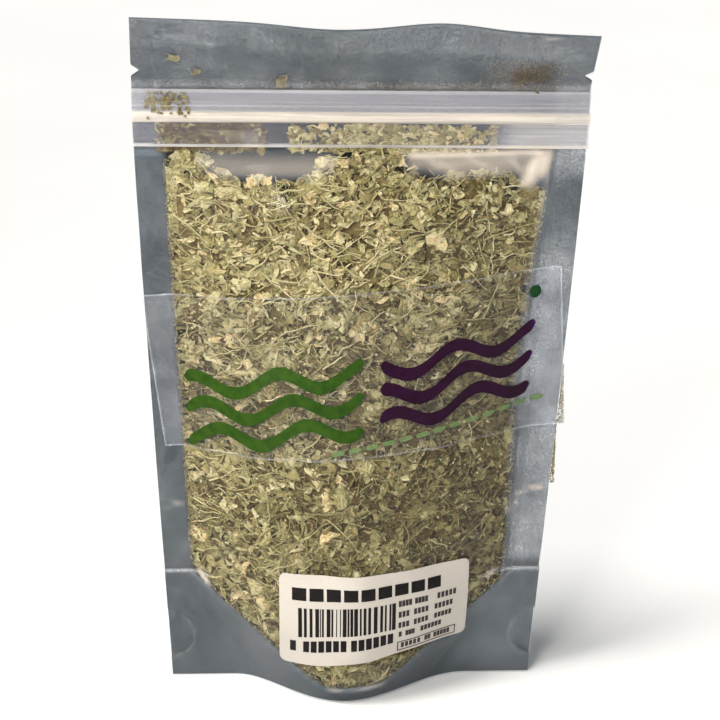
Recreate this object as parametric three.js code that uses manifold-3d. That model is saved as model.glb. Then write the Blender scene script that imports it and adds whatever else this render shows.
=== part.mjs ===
// A stand-up pouch of dried coriander leaf: a clear front film and a silver back film sealed round
// a folded base gusset, a press-zip under a tear-off top, a fill of crumbled leaf, and three labels.
// Millimetres, +Z up. The front faces -Y and the origin is at the middle of the base.
//
// Each film is described in its own flat coordinates: s runs across it from -65 to 65, and h runs
// up it from the hem. filmPoint bends that flat sheet into the filled shape, and every layer that
// follows a film (gusset, zip, labels, leaf) is the same sheet moved in or out by its own distance.

import * as THREE from 'three';
import { mergeVertices } from 'three/addons/utils/BufferGeometryUtils.js';
import Module from 'manifold-3d';

const wasm = await Module();
wasm.setup();

// ---- Driving dimensions -----------------------------------------------------------------------

const FILM_WIDTH = 130;          // flat width of the pouch
const SIDE_SEAL = 8;             // heat-sealed border on each side
const ZIP_TOP = 183;             // top of the zip's flange, where the flap begins
const FLAP = 22;                 // tear-off flap above the zip
const FLAP_BEND = 2.5;           // how far above the zip the flap starts to lean
const FILM = 0.4;                // thickness of a film
const GAP = 0.3;                 // clearance between two layers that lie on each other
const STRIP = 0.4;               // thickness of a zip flange
const LABEL = 0.3;               // thickness of a label

const FLAT_ABOVE = 176;          // the leaf swells the pouch up to here
const BASE_PINCH = 19.6;         // how much narrower the swollen pouch is at its hem
const PINCH_POWER = 1.1;         // how that narrowing fades with height
const HEM_TUCK = 0.3;            // share of the depth that the hem seal holds back
const HEM_FADE = 12;             // height over which the hem lets go
const HEM_BELL = 0.76;           // share of the width that bulges at the hem itself
const CROWN_SKEW = 0.09;         // how far the crown sits to the left
const CROWN_POWER = 1.12;        // roundness of the cross-section high up, 1 being a plain arch
const CROWN_NARROWING = 0.6;     // added to that power at the hem, fading over CROWN_RISE
const CROWN_RISE = 60;
const HEM_NARROWING = 0.4;       // added again close to the hem, fading over HEM_NARROW_FADE
const HEM_NARROW_FADE = 14;

const FLAP_LEAN = 29;            // degrees by which the middle of the flap leans forward
const FLAP_TWIST = 9.6;          // more than that at the right edge, and less at the left
const FLAP_RIPPLES = [           // degrees, place across and half-width of each ripple in the flap
  { lean: 6.4, at: -10.4, reach: 17 },
  { lean: -7.9, at: 22.3, reach: 13.3 },
];

const GUSSET = 35;               // height of the gusset fold at the side edges
const GUSSET_EASE = [1, 9];      // above the fold, where the films close on each other again
const GUSSET_SLACK = 0.75;       // share of the spare gusset that hangs straight down
const GUSSET_FLAT = 0.55;        // share of the gusset's span that the hanging takes up
const HEM_SEAL = 5;              // seal along the hem at the middle
const HEM_LEVEL = 10;            // half-width of the level stretch of the hem seal
const ARCH_POWER = 1.2;          // how the seal climbs from the hem to the fold
const PUNCH_HEIGHT = 14;         // centre of the half-round punched in each gusset edge
const PUNCH_RADIUS = 7.5;

const ZIP_RIDGE = 175.5;         // centre line of the zip's bead
const ZIP_BOTTOM = 167.5;        // bottom of the zip's flange
const ZIP_BEAD = 1.3;            // half-height of the bead
const ZIP_GROOVE = 0.65;         // half-height of its groove
const ZIP_RIB = 0.35;            // half-height of the rib in the groove
const ZIP_BEVEL = 0.3;           // bevel of the bead
const BELOW_ZIP = [3.5, 0.7];    // below the flange, where a film eases out to go round it
const ABOVE_ZIP = [0.6, 3.4];    // above the flange, where it eases in again
const BESIDE_BEAD = [0.1, 1.3];  // above and below the bead, where it eases round that
const NOTCH_HEIGHT = 188.5;      // tear notch
const NOTCH_DEPTH = 2.4;
const NOTCH_HALF = 1.8;

const FILL_TOP = 166;            // highest leaf
const FILL_CLEAR = 0.75;         // from the middle of the film to the outermost leaf
const FILL_CORE = 1.75;          // from the middle of the film to the mass that carries the flakes
const FLAKE_ROOT = 2.2;          // thickness of a leaf flake with the root that is sunk in the mass
const FILL_LIFT = 1.2;           // extra room between the leaf and the base seals
const FILL_SHOULDER = 13;        // how much lower the leaf ends beside the side seals
const FILL_REACH = 53;           // half of the width that it fills
// Flakes across and up, and stalk bits, on each side. The silver back hides most of its side.
const SCATTER = [
  { side: -1, columns: 6, rows: 10, stalks: 12 },
  { side: 1, columns: 4, rows: 6, stalks: 4 },
];
const SLIVER = 0.08;             // facets finer than this are joined to their neighbours

const HALF = FILM_WIDTH / 2;
const SEAL_LINE = HALF - SIDE_SEAL;
const TOP = ZIP_TOP + FLAP;
const LAYER = FILM + GAP + 0.08; // between the middles of the two films where they are sealed
const LEG_IN = FILM + 0.5;       // from the middle of a film in to the middle of a gusset leg

// Columns of every sheet. All layers share them, so their facets stay parallel.
const COLUMNS = mirrored([0, 10, 20, 30, 39, 47, FILL_REACH, SEAL_LINE, 61, HALF]);

function mirrored(values) {
  return [...values.slice(1).reverse().map((v) => -v), ...values];
}

const clamp01 = (v) => Math.min(1, Math.max(0, v));
const smooth = (from, to, v) => {
  const t = clamp01((v - from) / (to - from));
  return t * t * (3 - 2 * t);
};

// ---- The swollen shape ------------------------------------------------------------------------

// Half of the straight distance between the two side seals at height h.
function innerHalf(h) {
  const taper = clamp01(1 - h / FLAT_ABOVE);
  return SEAL_LINE - (BASE_PINCH / 2) * taper ** PINCH_POWER;
}

// How far the middle of a film stands out: a film of fixed width over a shorter chord.
function depth(h) {
  const chord = 2 * innerHalf(h);
  const arc = 2 * SEAL_LINE;
  const held = 1 - HEM_TUCK * Math.exp(-h / HEM_FADE);
  return chord * Math.sqrt((3 / 8) * Math.max(0, arc / chord - 1)) * held;
}

// Cross-section of a film, 1 at the crown and 0 at the side seals. The base seals hold the corners
// flat, so it is a narrow bell at the hem and a plain arch higher up. It leans a little to the left.
function crown(s, h) {
  const reach = SEAL_LINE * (HEM_BELL + (1 - HEM_BELL) * smooth(0, GUSSET, h));
  const t = THREE.MathUtils.clamp(s / reach, -1, 1);
  const skewed = t + CROWN_SKEW * (1 - t * t);
  const rising = CROWN_NARROWING * (1 - smooth(0, CROWN_RISE, h));
  const hem = HEM_NARROWING * Math.exp(-h / HEM_NARROW_FADE);
  return clamp01(1 - skewed * skewed) ** (CROWN_POWER + rising + hem);
}

// Room between the middle plane and a film: gusset legs low down, zip strips near the top.
function room(h) {
  const closed = LAYER / 2;
  const gusset = LEG_IN * (1 - smooth(GUSSET + GUSSET_EASE[0], GUSSET + GUSSET_EASE[1], h));
  const risen = smooth(ZIP_BOTTOM - BELOW_ZIP[0], ZIP_BOTTOM - BELOW_ZIP[1], h);
  const fallen = smooth(ZIP_TOP + ABOVE_ZIP[0], ZIP_TOP + ABOVE_ZIP[1], h);
  const offRidge = Math.abs(h - ZIP_RIDGE);
  const bead = 1 - smooth(ZIP_BEAD + BESIDE_BEAD[0], ZIP_BEAD + BESIDE_BEAD[1], offRidge);
  return closed + gusset + LAYER * risen * (1 - fallen) + bead;
}

// Angle by which the empty flap leans forward. It leans most at the right, with one ripple forward
// left of the middle and one back at the right of it.
function lean(s) {
  const rippled = FLAP_RIPPLES.map((ripple) => ripple.lean * Math.exp(-(((s - ripple.at) / ripple.reach) ** 2)));
  return THREE.MathUtils.degToRad(FLAP_LEAN + (FLAP_TWIST * s) / HALF + rippled[0] + rippled[1]);
}

// Point of a film's middle surface. side is -1 for the front film and 1 for the back film.
function filmPoint(s, h, side) {
  const inner = innerHalf(h) * THREE.MathUtils.clamp(s / SEAL_LINE, -1, 1);
  const border = Math.sign(s) * Math.max(0, Math.abs(s) - SEAL_LINE);
  const above = Math.max(0, h - ZIP_TOP);
  const tilt = lean(s) * (1 - Math.exp(-above / FLAP_BEND));
  const run = above - FLAP_BEND * (1 - Math.exp(-above / FLAP_BEND));
  const forward = run * Math.sin(lean(s));
  const drop = run * (1 - Math.cos(lean(s)));
  const out = side * (room(h) + depth(h) * crown(s, h));
  const y = out * Math.cos(tilt) - forward;
  const z = h - drop + out * Math.sin(tilt);
  return new THREE.Vector3(inner + border, y, z);
}

// Outward direction of a film, level along the hem so that the pouch stands on a clean edge.
function filmNormal(s, h, side) {
  const step = 0.5;
  const low = Math.max(0, h - step);
  const across = filmPoint(s + step, h, side).sub(filmPoint(s - step, h, side));
  const up = filmPoint(s, h + step, side).sub(filmPoint(s, low, side));
  const normal = across.cross(up).multiplyScalar(-side);
  if (h === 0) normal.setZ(0);
  return normal.normalize();
}

// A point moved out of the film (positive) or in towards the leaf (negative).
function layerPoint(s, h, side, out) {
  return filmPoint(s, h, side).addScaledVector(filmNormal(s, h, side), out);
}

// Height of the base seal's upper edge on each film: level at the middle, up to the fold at the sides.
function archHeight(s) {
  const t = clamp01((Math.abs(s) - HEM_LEVEL) / (SEAL_LINE - HEM_LEVEL));
  return HEM_SEAL + (GUSSET - HEM_SEAL) * t ** ARCH_POWER;
}

// The free part of the gusset, between the two base seals. t runs from 0 at the front seal to 1 at
// the back seal. Its spare length hangs down until it meets the floor.
function gussetSpan(s, t) {
  const arch = archHeight(s);
  const front = layerPoint(s, arch, -1, -LEG_IN);
  const span = Math.abs(front.y);
  const spare = (GUSSET - arch) ** 2 - span ** 2;
  const dip = GUSSET_SLACK * Math.sqrt(Math.max(0, spare));
  const lowest = Math.max(FILM / 2, front.z - dip);
  const rolled = clamp01(1 - dip / 2);
  const fold = Math.sin(Math.PI * t) * Math.min(span, LAYER / 2) * rolled;
  const across = rolled * Math.cos(Math.PI * t) + (1 - rolled) * (1 - 2 * t);
  const sag = smooth(0, GUSSET_FLAT, 1 - Math.abs(2 * t - 1));
  const z = front.z - (front.z - lowest) * sag + fold;
  return new THREE.Vector3(front.x, -span * across, z);
}

// ---- Solids from sheets and sections ----------------------------------------------------------

function indexedGeometry(positions, index) {
  const geometry = new THREE.BufferGeometry();
  geometry.setAttribute('position', new THREE.Float32BufferAttribute(positions, 3));
  geometry.setIndex(index);
  return geometry;
}

// Normal of a grid of points, rows running up and columns running across.
function gridNormal(grid, j, i) {
  const clampRow = (v) => THREE.MathUtils.clamp(v, 0, grid.length - 1);
  const clampColumn = (v) => THREE.MathUtils.clamp(v, 0, grid[0].length - 1);
  const across = grid[j][clampColumn(i + 1)].clone().sub(grid[j][clampColumn(i - 1)]);
  const up = grid[clampRow(j + 1)][i].clone().sub(grid[clampRow(j - 1)][i]);
  const normal = across.cross(up);
  if (grid[j][i].z === 0) normal.setZ(0);
  return normal.normalize();
}

// A closed sheet of even thickness round a grid of middle points.
function sheet(grid, thickness) {
  const rows = grid.length;
  const columns = grid[0].length;
  const positions = [];
  for (const face of [1, -1]) {
    grid.forEach((row, j) => row.forEach((point, i) => {
      const out = gridNormal(grid, j, i).multiplyScalar((face * thickness) / 2);
      positions.push(...out.add(point).toArray());
    }));
  }
  const at = (j, i) => j * columns + i;
  const back = rows * columns;
  const index = [];
  for (let j = 0; j < rows - 1; j += 1) {
    for (let i = 0; i < columns - 1; i += 1) {
      const [a, b, c, d] = [at(j, i), at(j, i + 1), at(j + 1, i + 1), at(j + 1, i)];
      index.push(a, b, c, a, c, d);
      index.push(back + a, back + c, back + b, back + a, back + d, back + c);
    }
  }
  const rim = [];
  for (let i = 0; i < columns - 1; i += 1) rim.push(at(0, i));
  for (let j = 0; j < rows - 1; j += 1) rim.push(at(j, columns - 1));
  for (let i = columns - 1; i > 0; i -= 1) rim.push(at(rows - 1, i));
  for (let j = rows - 1; j > 0; j -= 1) rim.push(at(j, 0));
  rim.forEach((p, k) => {
    const q = rim[(k + 1) % rim.length];
    index.push(back + p, back + q, q, back + p, q, p);
  });
  return indexedGeometry(positions, index);
}

// A closed solid through a row of sections that runs towards +X. Each section is a ring of points
// that turns anticlockwise as seen from +X.
function loft(sections) {
  const count = sections[0].length;
  const positions = sections.flat().flatMap((point) => point.toArray());
  const index = [];
  for (let k = 0; k < sections.length - 1; k += 1) {
    for (let i = 0; i < count; i += 1) {
      const a = k * count + i;
      const b = k * count + ((i + 1) % count);
      index.push(a, b, b + count, a, b + count, a + count);
    }
  }
  const cap = (section, base, flip) => {
    const flat = section.map((point) => new THREE.Vector2(point.y, point.z));
    THREE.ShapeUtils.triangulateShape(flat, []).forEach(([a, b, c]) => {
      index.push(base + a, base + (flip ? c : b), base + (flip ? b : c));
    });
  };
  cap(sections[0], 0, true);
  cap(sections.at(-1), (sections.length - 1) * count, false);
  return indexedGeometry(positions, index);
}

function toManifold(geometry) {
  const bare = geometry.clone();
  bare.deleteAttribute('normal');
  bare.deleteAttribute('uv');
  const merged = mergeVertices(bare, 1e-4);
  return new wasm.Manifold(new wasm.Mesh({
    numProp: 3,
    vertProperties: new Float32Array(merged.attributes.position.array),
    triVerts: new Uint32Array(merged.index.array),
  }));
}

function fromManifold(solid) {
  const mesh = solid.getMesh();
  return indexedGeometry(Array.from(mesh.vertProperties), Array.from(mesh.triVerts));
}

function part(name, geometry, finish) {
  const mesh = new THREE.Mesh(geometry, new THREE.MeshStandardMaterial(finish));
  mesh.name = name;
  return mesh;
}

// ---- Films ------------------------------------------------------------------------------------

// Rows of a film: close together at the hem, round the zip and in the flap.
const FILM_ROWS = [
  0, HEM_SEAL, 10, 16, 23, 30, ...GUSSET_EASE.map((rise) => GUSSET + rise),
  56, 68, 82, 97, 112, 127, 141, 153, 161, ...BELOW_ZIP.map((drop) => ZIP_BOTTOM - drop),
  ZIP_RIDGE - ZIP_BEAD - BESIDE_BEAD[1], ZIP_RIDGE - ZIP_BEAD,
  ZIP_RIDGE + ZIP_BEAD, ZIP_RIDGE + ZIP_BEAD + BESIDE_BEAD[1],
  ...ABOVE_ZIP.map((rise) => ZIP_TOP + rise), 191, 196, 200.5, TOP,
];

// The V cut into both side edges that starts the tear.
function tearNotches() {
  const outline = new THREE.Shape();
  outline.moveTo(-NOTCH_DEPTH, 0);
  outline.lineTo(NOTCH_DEPTH, -2 * NOTCH_HALF);
  outline.lineTo(NOTCH_DEPTH, 2 * NOTCH_HALF);
  outline.closePath();
  const tool = new THREE.ExtrudeGeometry(outline, { depth: 30, bevelEnabled: false });
  tool.rotateX(Math.PI / 2);
  tool.translate(0, 15, 0);
  return [-1, 1].map((edge) => {
    const placed = tool.clone();
    if (edge < 0) placed.rotateZ(Math.PI);
    placed.translate(edge * HALF, 0, NOTCH_HEIGHT);
    return toManifold(placed);
  });
}

function filmSolid(side) {
  const columns = side < 0 ? COLUMNS : [...COLUMNS].reverse();
  const grid = FILM_ROWS.map((h) => columns.map((s) => filmPoint(s, h, side)));
  let solid = toManifold(sheet(grid, FILM));
  for (const notch of tearNotches()) solid = solid.subtract(notch);
  return fromManifold(solid);
}

// ---- Gusset -----------------------------------------------------------------------------------

// Front leg from the hem up to the base seal's edge, the free span, and the back leg down again.
function gussetSolid() {
  const legSteps = [0, 0.2, 0.4, 0.6, 0.8, 1];
  const spanSteps = [0.1, 0.19, 0.275, 0.4, 0.5, 0.6, 0.725, 0.81, 0.9];
  const leg = (side, share) => COLUMNS.map((s) => layerPoint(s, archHeight(s) * share, side, -LEG_IN));
  const grid = [
    ...legSteps.map((share) => leg(-1, share)),
    ...spanSteps.map((t) => COLUMNS.map((s) => gussetSpan(s, t))),
    ...[...legSteps].reverse().map((share) => leg(1, share)),
  ];
  let solid = toManifold(sheet(grid, FILM));
  const edge = filmPoint(HALF, PUNCH_HEIGHT, -1).x;
  for (const x of [-edge, edge]) {
    const punch = new THREE.CylinderGeometry(PUNCH_RADIUS, PUNCH_RADIUS, 12, 24);
    punch.translate(x, 0, PUNCH_HEIGHT);
    solid = solid.subtract(toManifold(punch));
  }
  return fromManifold(solid);
}

// ---- Press-zip --------------------------------------------------------------------------------

// A strip runs the full width, its section a flange with a bead. Each section is a list of
// [out, h], where out is the distance from the middle plane towards the strip's own film.
function zipSolid(side, section) {
  const rings = COLUMNS.map((s) => {
    const x = filmPoint(s, ZIP_RIDGE, side).x;
    const ring = section.map(([out, h]) => new THREE.Vector3(x, side * out, h));
    return side < 0 ? ring.reverse() : ring;
  });
  return loft(rings);
}

const FLANGE_IN = GAP / 2;
const FLANGE_OUT = FLANGE_IN + STRIP;
const BEAD_OUT = FLANGE_OUT + 1;      // the bead stands 1 mm off its flange
const GROOVE_OUT = FLANGE_IN + 0.75;  // and the groove goes 0.75 mm into it
const RIB_TIP = GROOVE_OUT - GAP;

// Both strips have the same back, and their inner faces differ: a groove, or a rib that sits in it.
const STRIP_BACK = [
  [FLANGE_IN, ZIP_BOTTOM], [FLANGE_OUT, ZIP_BOTTOM],
  [FLANGE_OUT, ZIP_RIDGE - ZIP_BEAD], [BEAD_OUT, ZIP_RIDGE - ZIP_BEAD + ZIP_BEVEL],
  [BEAD_OUT, ZIP_RIDGE + ZIP_BEAD - ZIP_BEVEL], [FLANGE_OUT, ZIP_RIDGE + ZIP_BEAD],
  [FLANGE_OUT, ZIP_TOP], [FLANGE_IN, ZIP_TOP],
];
const GROOVE_SECTION = [
  ...STRIP_BACK,
  [FLANGE_IN, ZIP_RIDGE + ZIP_GROOVE], [GROOVE_OUT, ZIP_RIDGE + ZIP_GROOVE],
  [GROOVE_OUT, ZIP_RIDGE - ZIP_GROOVE], [FLANGE_IN, ZIP_RIDGE - ZIP_GROOVE],
];
const RIB_SECTION = [
  ...STRIP_BACK,
  [FLANGE_IN, ZIP_RIDGE + ZIP_RIB], [-RIB_TIP, ZIP_RIDGE + ZIP_RIB],
  [-RIB_TIP, ZIP_RIDGE - ZIP_RIB], [FLANGE_IN, ZIP_RIDGE - ZIP_RIB],
];

// ---- Labels -----------------------------------------------------------------------------------

// Corners of each label in the film's flat coordinates, [s, h] as the front is seen. The ends of the
// two clear labels stand past the film's edges.
const FRONT_LABEL = {
  bottom: [[-62, 75.8], [67.4, 82.5]],
  top: [[-65.8, 122.6], [61.4, 131.8]],
  rows: 6,
};
const BACK_LABEL = { bottom: [[-58, 60], [66.6, 63]], top: [[-61, 108], [63, 111]], rows: 6 };
const STICKER = { bottom: [[-25.6, 16.2], [36.2, 16]], top: [[-25.6, 45], [36.4, 45.4]], rows: 5 };
const LABEL_END = 1.5;           // between a label's slanted end and its nearest column

// Columns of the film that a label shares, so that it lies flat on it. Its ends add one each.
function labelColumns(label) {
  const left = Math.max(label.bottom[0][0], label.top[0][0]) + LABEL_END;
  const right = Math.min(label.bottom[1][0], label.top[1][0]) - LABEL_END;
  return COLUMNS.filter((s) => Math.abs(s) <= SEAL_LINE && s > left && s < right);
}

function labelSolid(label, side) {
  const { lerp } = THREE.MathUtils;
  const grid = [];
  for (let j = 0; j < label.rows; j += 1) {
    const up = j / (label.rows - 1);
    const left = lerp(label.bottom[0][0], label.top[0][0], up);
    const right = lerp(label.bottom[1][0], label.top[1][0], up);
    grid.push([left, ...labelColumns(label), right].map((s) => {
      const across = (s - left) / (right - left);
      const low = lerp(label.bottom[0][1], label.bottom[1][1], across);
      const high = lerp(label.top[0][1], label.top[1][1], across);
      return layerPoint(s, lerp(low, high, up), side, FILM / 2 + GAP + LABEL / 2);
    }));
  }
  if (side > 0) grid.forEach((row) => row.reverse());
  return sheet(grid, LABEL);
}

// ---- Leaf fill --------------------------------------------------------------------------------

const FILL_COLUMNS = COLUMNS.filter((s) => Math.abs(s) <= FILL_REACH);
const FILL_STEPS = [0, 0.06, 0.13, 0.22, 0.34, 0.48, 0.62, 0.76, 0.88, 1];
const FLOOR_STEPS = [0.1, 0.19, 0.275, 0.4, 0.6, 0.725, 0.81, 0.9];

// The highest leaf at each place across: full height in the middle, lower beside the seals.
function fillTop(s) {
  return FILL_TOP - FILL_SHOULDER * (Math.abs(s) / SEAL_LINE) ** 4;
}

// The space that leaf may fill, held off both films and the gusset by inset and cut off by drop
// below the highest leaf. Each column gives a ring of points: base, back, front.
function fillSolid(inset, drop) {
  const sections = FILL_COLUMNS.map((s) => {
    const low = archHeight(s) + inset + FILL_LIFT;
    const high = fillTop(s) - drop(s);
    const wall = (side) => FILL_STEPS.map((share) => {
      const h = THREE.MathUtils.lerp(low, high, share);
      const besideLeg = (LEG_IN / 2) * (1 - smooth(GUSSET, GUSSET + 8, h));
      const point = layerPoint(s, h, side, -inset - besideLeg);
      const reach = Math.max(0.3, side * point.y);
      return new THREE.Vector3(filmPoint(s, h, side).x, side * reach, h);
    });
    const front = wall(-1);
    const back = wall(1);
    const span = Math.abs(gussetSpan(s, 0).y);
    const narrower = Math.max(0.3, 1 - FILL_LIFT / span);
    const base = FLOOR_STEPS.map((t) => {
      const point = gussetSpan(s, t);
      const h = Math.min(low, point.z + inset + FILL_LIFT / 2);
      return new THREE.Vector3(front[0].x, point.y * narrower, h);
    });
    return [...base, ...back, ...front.reverse()];
  });
  return toManifold(loft(sections));
}

// Numbers that look random and are the same on every run.
function seededRandom(seed) {
  let state = seed;
  return () => {
    state = (state + 0x6d2b79f5) | 0;
    let t = Math.imul(state ^ (state >>> 15), 1 | state);
    t = (t + Math.imul(t ^ (t >>> 7), 61 | t)) ^ t;
    return ((t ^ (t >>> 14)) >>> 0) / 4294967296;
  };
}

// Outline of a broken coriander leaflet: a wedge from its stalk end, cut into three lobes.
function leafOutline(size, random) {
  const at = (turn, reach) => {
    const angle = Math.PI / 2 - turn;
    return new THREE.Vector2(reach * size * Math.cos(angle), reach * size * Math.sin(angle) - 0.1 * size);
  };
  const wobble = () => 0.16 * (random() - 0.5);
  return [
    at(Math.PI, 0.42), at(1.45 + wobble(), 0.5 + wobble()), at(0.72, 0.22 + wobble()),
    at(0.3 + wobble(), 0.62 + wobble()), at(-0.34 + wobble(), 0.6 + wobble()),
    at(-0.8, 0.24 + wobble()), at(-1.4 + wobble(), 0.52 + wobble()),
  ].reverse();
}

// A flat piece laid on the fill's surface at (s, h), turned by spin and tipped a little. Its top
// stands proud of the mass by stand, and the rest of its thickness is the root.
function laidOnFill(outline, thickness, s, h, side, spin, tip, stand) {
  const shape = new THREE.Shape(outline);
  const geometry = new THREE.ExtrudeGeometry(shape, { depth: thickness, bevelEnabled: false });
  geometry.translate(0, 0, -thickness);
  geometry.rotateZ(spin);
  geometry.rotateX(tip);
  const out = filmNormal(s, h, side);
  const across = new THREE.Vector3(0, 0, 1).cross(out).normalize();
  const up = out.clone().cross(across);
  const place = new THREE.Matrix4().makeBasis(across, up, out);
  place.setPosition(layerPoint(s, h, side, -FILL_CORE + stand));
  geometry.applyMatrix4(place);
  return toManifold(geometry);
}

function leafFillSolid() {
  const random = seededRandom(20817);
  const pieces = [fillSolid(FILL_CORE, (s) => 5 + 2 * Math.sin(s / 9))];
  for (const { side, columns, rows, stalks } of SCATTER) {
    for (let j = 0; j < rows; j += 1) {
      for (let i = 0; i < columns; i += 1) {
        const shift = (j % 2) * 0.5 + 0.25;
        const s = -53 + (106 * (i + shift + 0.3 * (random() - 0.5))) / columns;
        const low = archHeight(s) + 4;
        const h = low + (fillTop(s) - 5 - low) * ((j + 0.5 + 0.5 * (random() - 0.5)) / rows);
        const outline = leafOutline(14 + 4 * random(), random);
        const tip = 0.07 * (random() - 0.5);
        const stand = 0.35 + 0.4 * random();
        pieces.push(laidOnFill(outline, FLAKE_ROOT, s, h, side, 2 * Math.PI * random(), tip, stand));
      }
    }
    for (let k = 0; k < stalks; k += 1) {
      const s = 96 * (random() - 0.5);
      const h = 46 + 104 * random();
      const length = 14 + 10 * random();
      const outline = [[-0.5, -0.5], [0.5, -0.5], [0.3, 0.5], [-0.3, 0.5]]
        .map(([a, b]) => new THREE.Vector2(a * 1.3, b * length));
      pieces.push(laidOnFill(outline, FLAKE_ROOT, s, h, side, Math.PI * random(), 0, 0.8));
    }
  }
  const fused = wasm.Manifold.union(pieces).intersect(fillSolid(FILL_CLEAR, () => 0));
  const bodies = fused.decompose().sort((a, b) => b.volume() - a.volume());
  return fromManifold(bodies[0].simplify(SLIVER));
}

// ---- The pouch --------------------------------------------------------------------------------

const clearFilm = { color: 0xa9b3b8, roughness: 0.12, metalness: 0, transparent: true, opacity: 0.35 };
const silverFilm = { color: 0x8f9aa3, roughness: 0.35, metalness: 0.8 };
const zipPlastic = { color: 0xdfe6ea, roughness: 0.3, metalness: 0 };
const clearSticker = { color: 0xc9cdc4, roughness: 0.2, metalness: 0, transparent: true, opacity: 0.3 };
const whitePaper = { color: 0xe4dcd2, roughness: 0.7, metalness: 0 };
const driedLeaf = { color: 0xa39a6b, roughness: 0.9, metalness: 0 };

const pouch = new THREE.Group();
pouch.add(
  part('front_film', filmSolid(-1), clearFilm),
  part('back_film', filmSolid(1), silverFilm),
  part('bottom_gusset', gussetSolid(), silverFilm),
  part('zip_groove_strip', zipSolid(-1, GROOVE_SECTION), zipPlastic),
  part('zip_rib_strip', zipSolid(1, RIB_SECTION), zipPlastic),
  part('leaf_fill', leafFillSolid(), driedLeaf),
  part('front_label', labelSolid(FRONT_LABEL, -1), clearSticker),
  part('back_label', labelSolid(BACK_LABEL, 1), clearSticker),
  part('barcode_sticker', labelSolid(STICKER, -1), whitePaper),
);

export default pouch;
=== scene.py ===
# %% [markdown]
# # A stand-up pouch of dried coriander leaf
# The real thing is a sealed plastic pouch: a clear film in front, a silver film behind, a folded
# silver gusset that makes it stand, a press-zip below a tear-off flap, and crumbled dried leaf.
# The CAD solids give its size. Every film here is drawn again as a fine sheet on the same surface,
# because thin film shows each small dent, and the leaf is made from thousands of separate flakes.

import math

import bpy
import numpy as np
from mathutils import Matrix, Vector


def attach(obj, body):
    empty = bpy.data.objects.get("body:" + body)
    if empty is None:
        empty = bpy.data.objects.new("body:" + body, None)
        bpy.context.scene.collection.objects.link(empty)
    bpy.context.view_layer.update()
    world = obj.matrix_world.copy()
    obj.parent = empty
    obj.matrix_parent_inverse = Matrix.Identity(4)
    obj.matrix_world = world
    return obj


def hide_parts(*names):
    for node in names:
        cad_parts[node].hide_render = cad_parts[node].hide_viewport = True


MM = 0.001
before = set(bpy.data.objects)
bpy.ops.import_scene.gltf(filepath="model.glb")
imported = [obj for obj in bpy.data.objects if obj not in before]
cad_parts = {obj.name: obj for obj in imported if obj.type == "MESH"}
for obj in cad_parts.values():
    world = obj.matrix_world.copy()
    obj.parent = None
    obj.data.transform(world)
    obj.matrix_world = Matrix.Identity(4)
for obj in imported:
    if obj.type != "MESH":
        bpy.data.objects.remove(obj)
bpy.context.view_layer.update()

# %% [markdown]
# ## The camera
# The pouch was seen from a little above and almost straight on, from far enough that its sides
# look parallel. A long lens at 0.6 m gives that. The view is tipped by one degree, as a hand-held
# camera is, so the camera gets its three axes directly instead of a tracking rule.

# %% Camera
CAMERA_TURN = math.radians(-3.76)
CAMERA_RISE = math.radians(19.0)
CAMERA_ROLL = math.radians(1.18)
CAMERA_AIM = Vector((0.82, 0, 102.55)) * MM
CAMERA_DISTANCE = 600 * MM
CAMERA_LENS = 101.71       # focal length and sensor width, in mm
CAMERA_SENSOR = 36

toward_camera = Vector((
    math.sin(CAMERA_TURN) * math.cos(CAMERA_RISE),
    -math.cos(CAMERA_TURN) * math.cos(CAMERA_RISE),
    math.sin(CAMERA_RISE),
))
level_right = (-toward_camera).cross(Vector((0, 0, 1))).normalized()
level_up = level_right.cross(-toward_camera)
roll = Matrix.Rotation(CAMERA_ROLL, 3, toward_camera)
camera_axes = Matrix((roll @ level_right, roll @ level_up, toward_camera)).transposed()
camera_place = CAMERA_AIM + toward_camera * CAMERA_DISTANCE

camera = bpy.data.objects.new("camera", bpy.data.cameras.new("camera"))
camera.data.lens = CAMERA_LENS
camera.data.sensor_width = CAMERA_SENSOR
camera.matrix_world = Matrix.Translation(camera_place) @ camera_axes.to_4x4()
bpy.context.scene.collection.objects.link(camera)
bpy.context.scene.camera = camera
print("camera at", [round(v, 3) for v in camera.matrix_world.translation])

# %% [markdown]
# ## The flat film and the filled shape
# A pouch is cut from flat film, so each point of it has a place on the flat: s millimetres across
# from the middle and h millimetres up from the hem. One function bends that flat sheet into the
# filled shape. Everything that follows the film, such as labels, leaf and ink, is placed in s and h
# too, and then moved out or in. Nothing has to be fitted afterwards.

# %% Heights and widths
HALF = 65.0            # half of the film's flat width
SEAL_LINE = 57.0       # inner edge of the side seals, from the middle
TOP = 205.0            # height of the flat film
ZIP_TOP = 183.0        # the zip's flanges end and the flap begins
ZIP_RIDGE = 175.1      # middle of the zip's bead
ZIP_BEAD = 1.3         # half of the bead's height
ZIP_BOTTOM = 166.6     # lower edge of the zip's flanges
FLAT_ABOVE = 176.0     # from here on the two films lie together
BASE_PINCH = 19.6      # how much closer the side seals stand at the hem
GUSSET = 35.0          # height of the gusset's fold
HEM_SEAL = 5.0         # height of the base seal in the middle
HEM_LEVEL = 10.0       # it stays that low this far from the middle
LAYER = 0.78           # distance between two films that lie together
LEG_IN = 0.9           # a gusset leg lies this far inside its film
BELLY_WIDTH = 0.76     # share of the width that bulges at the hem; all of it does above the gusset
CROWN_SKEW = 0.09      # moves the crown a little to the left
FLAP_BEND = 2.5        # the flap bends forward over about this height
FLAP_LEAN = 29.0       # degrees
FLAP_TWIST = 9.6       # degrees more at the right edge, and less at the left
FLAP_RIPPLES = [(6.4, -10.4, 17), (-7.9, 22.3, 13.3)]      # degrees, place across, half-width

print("film:", 2 * HALF, "x", TOP, "mm flat, seals", HALF - SEAL_LINE, "mm wide")


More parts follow.
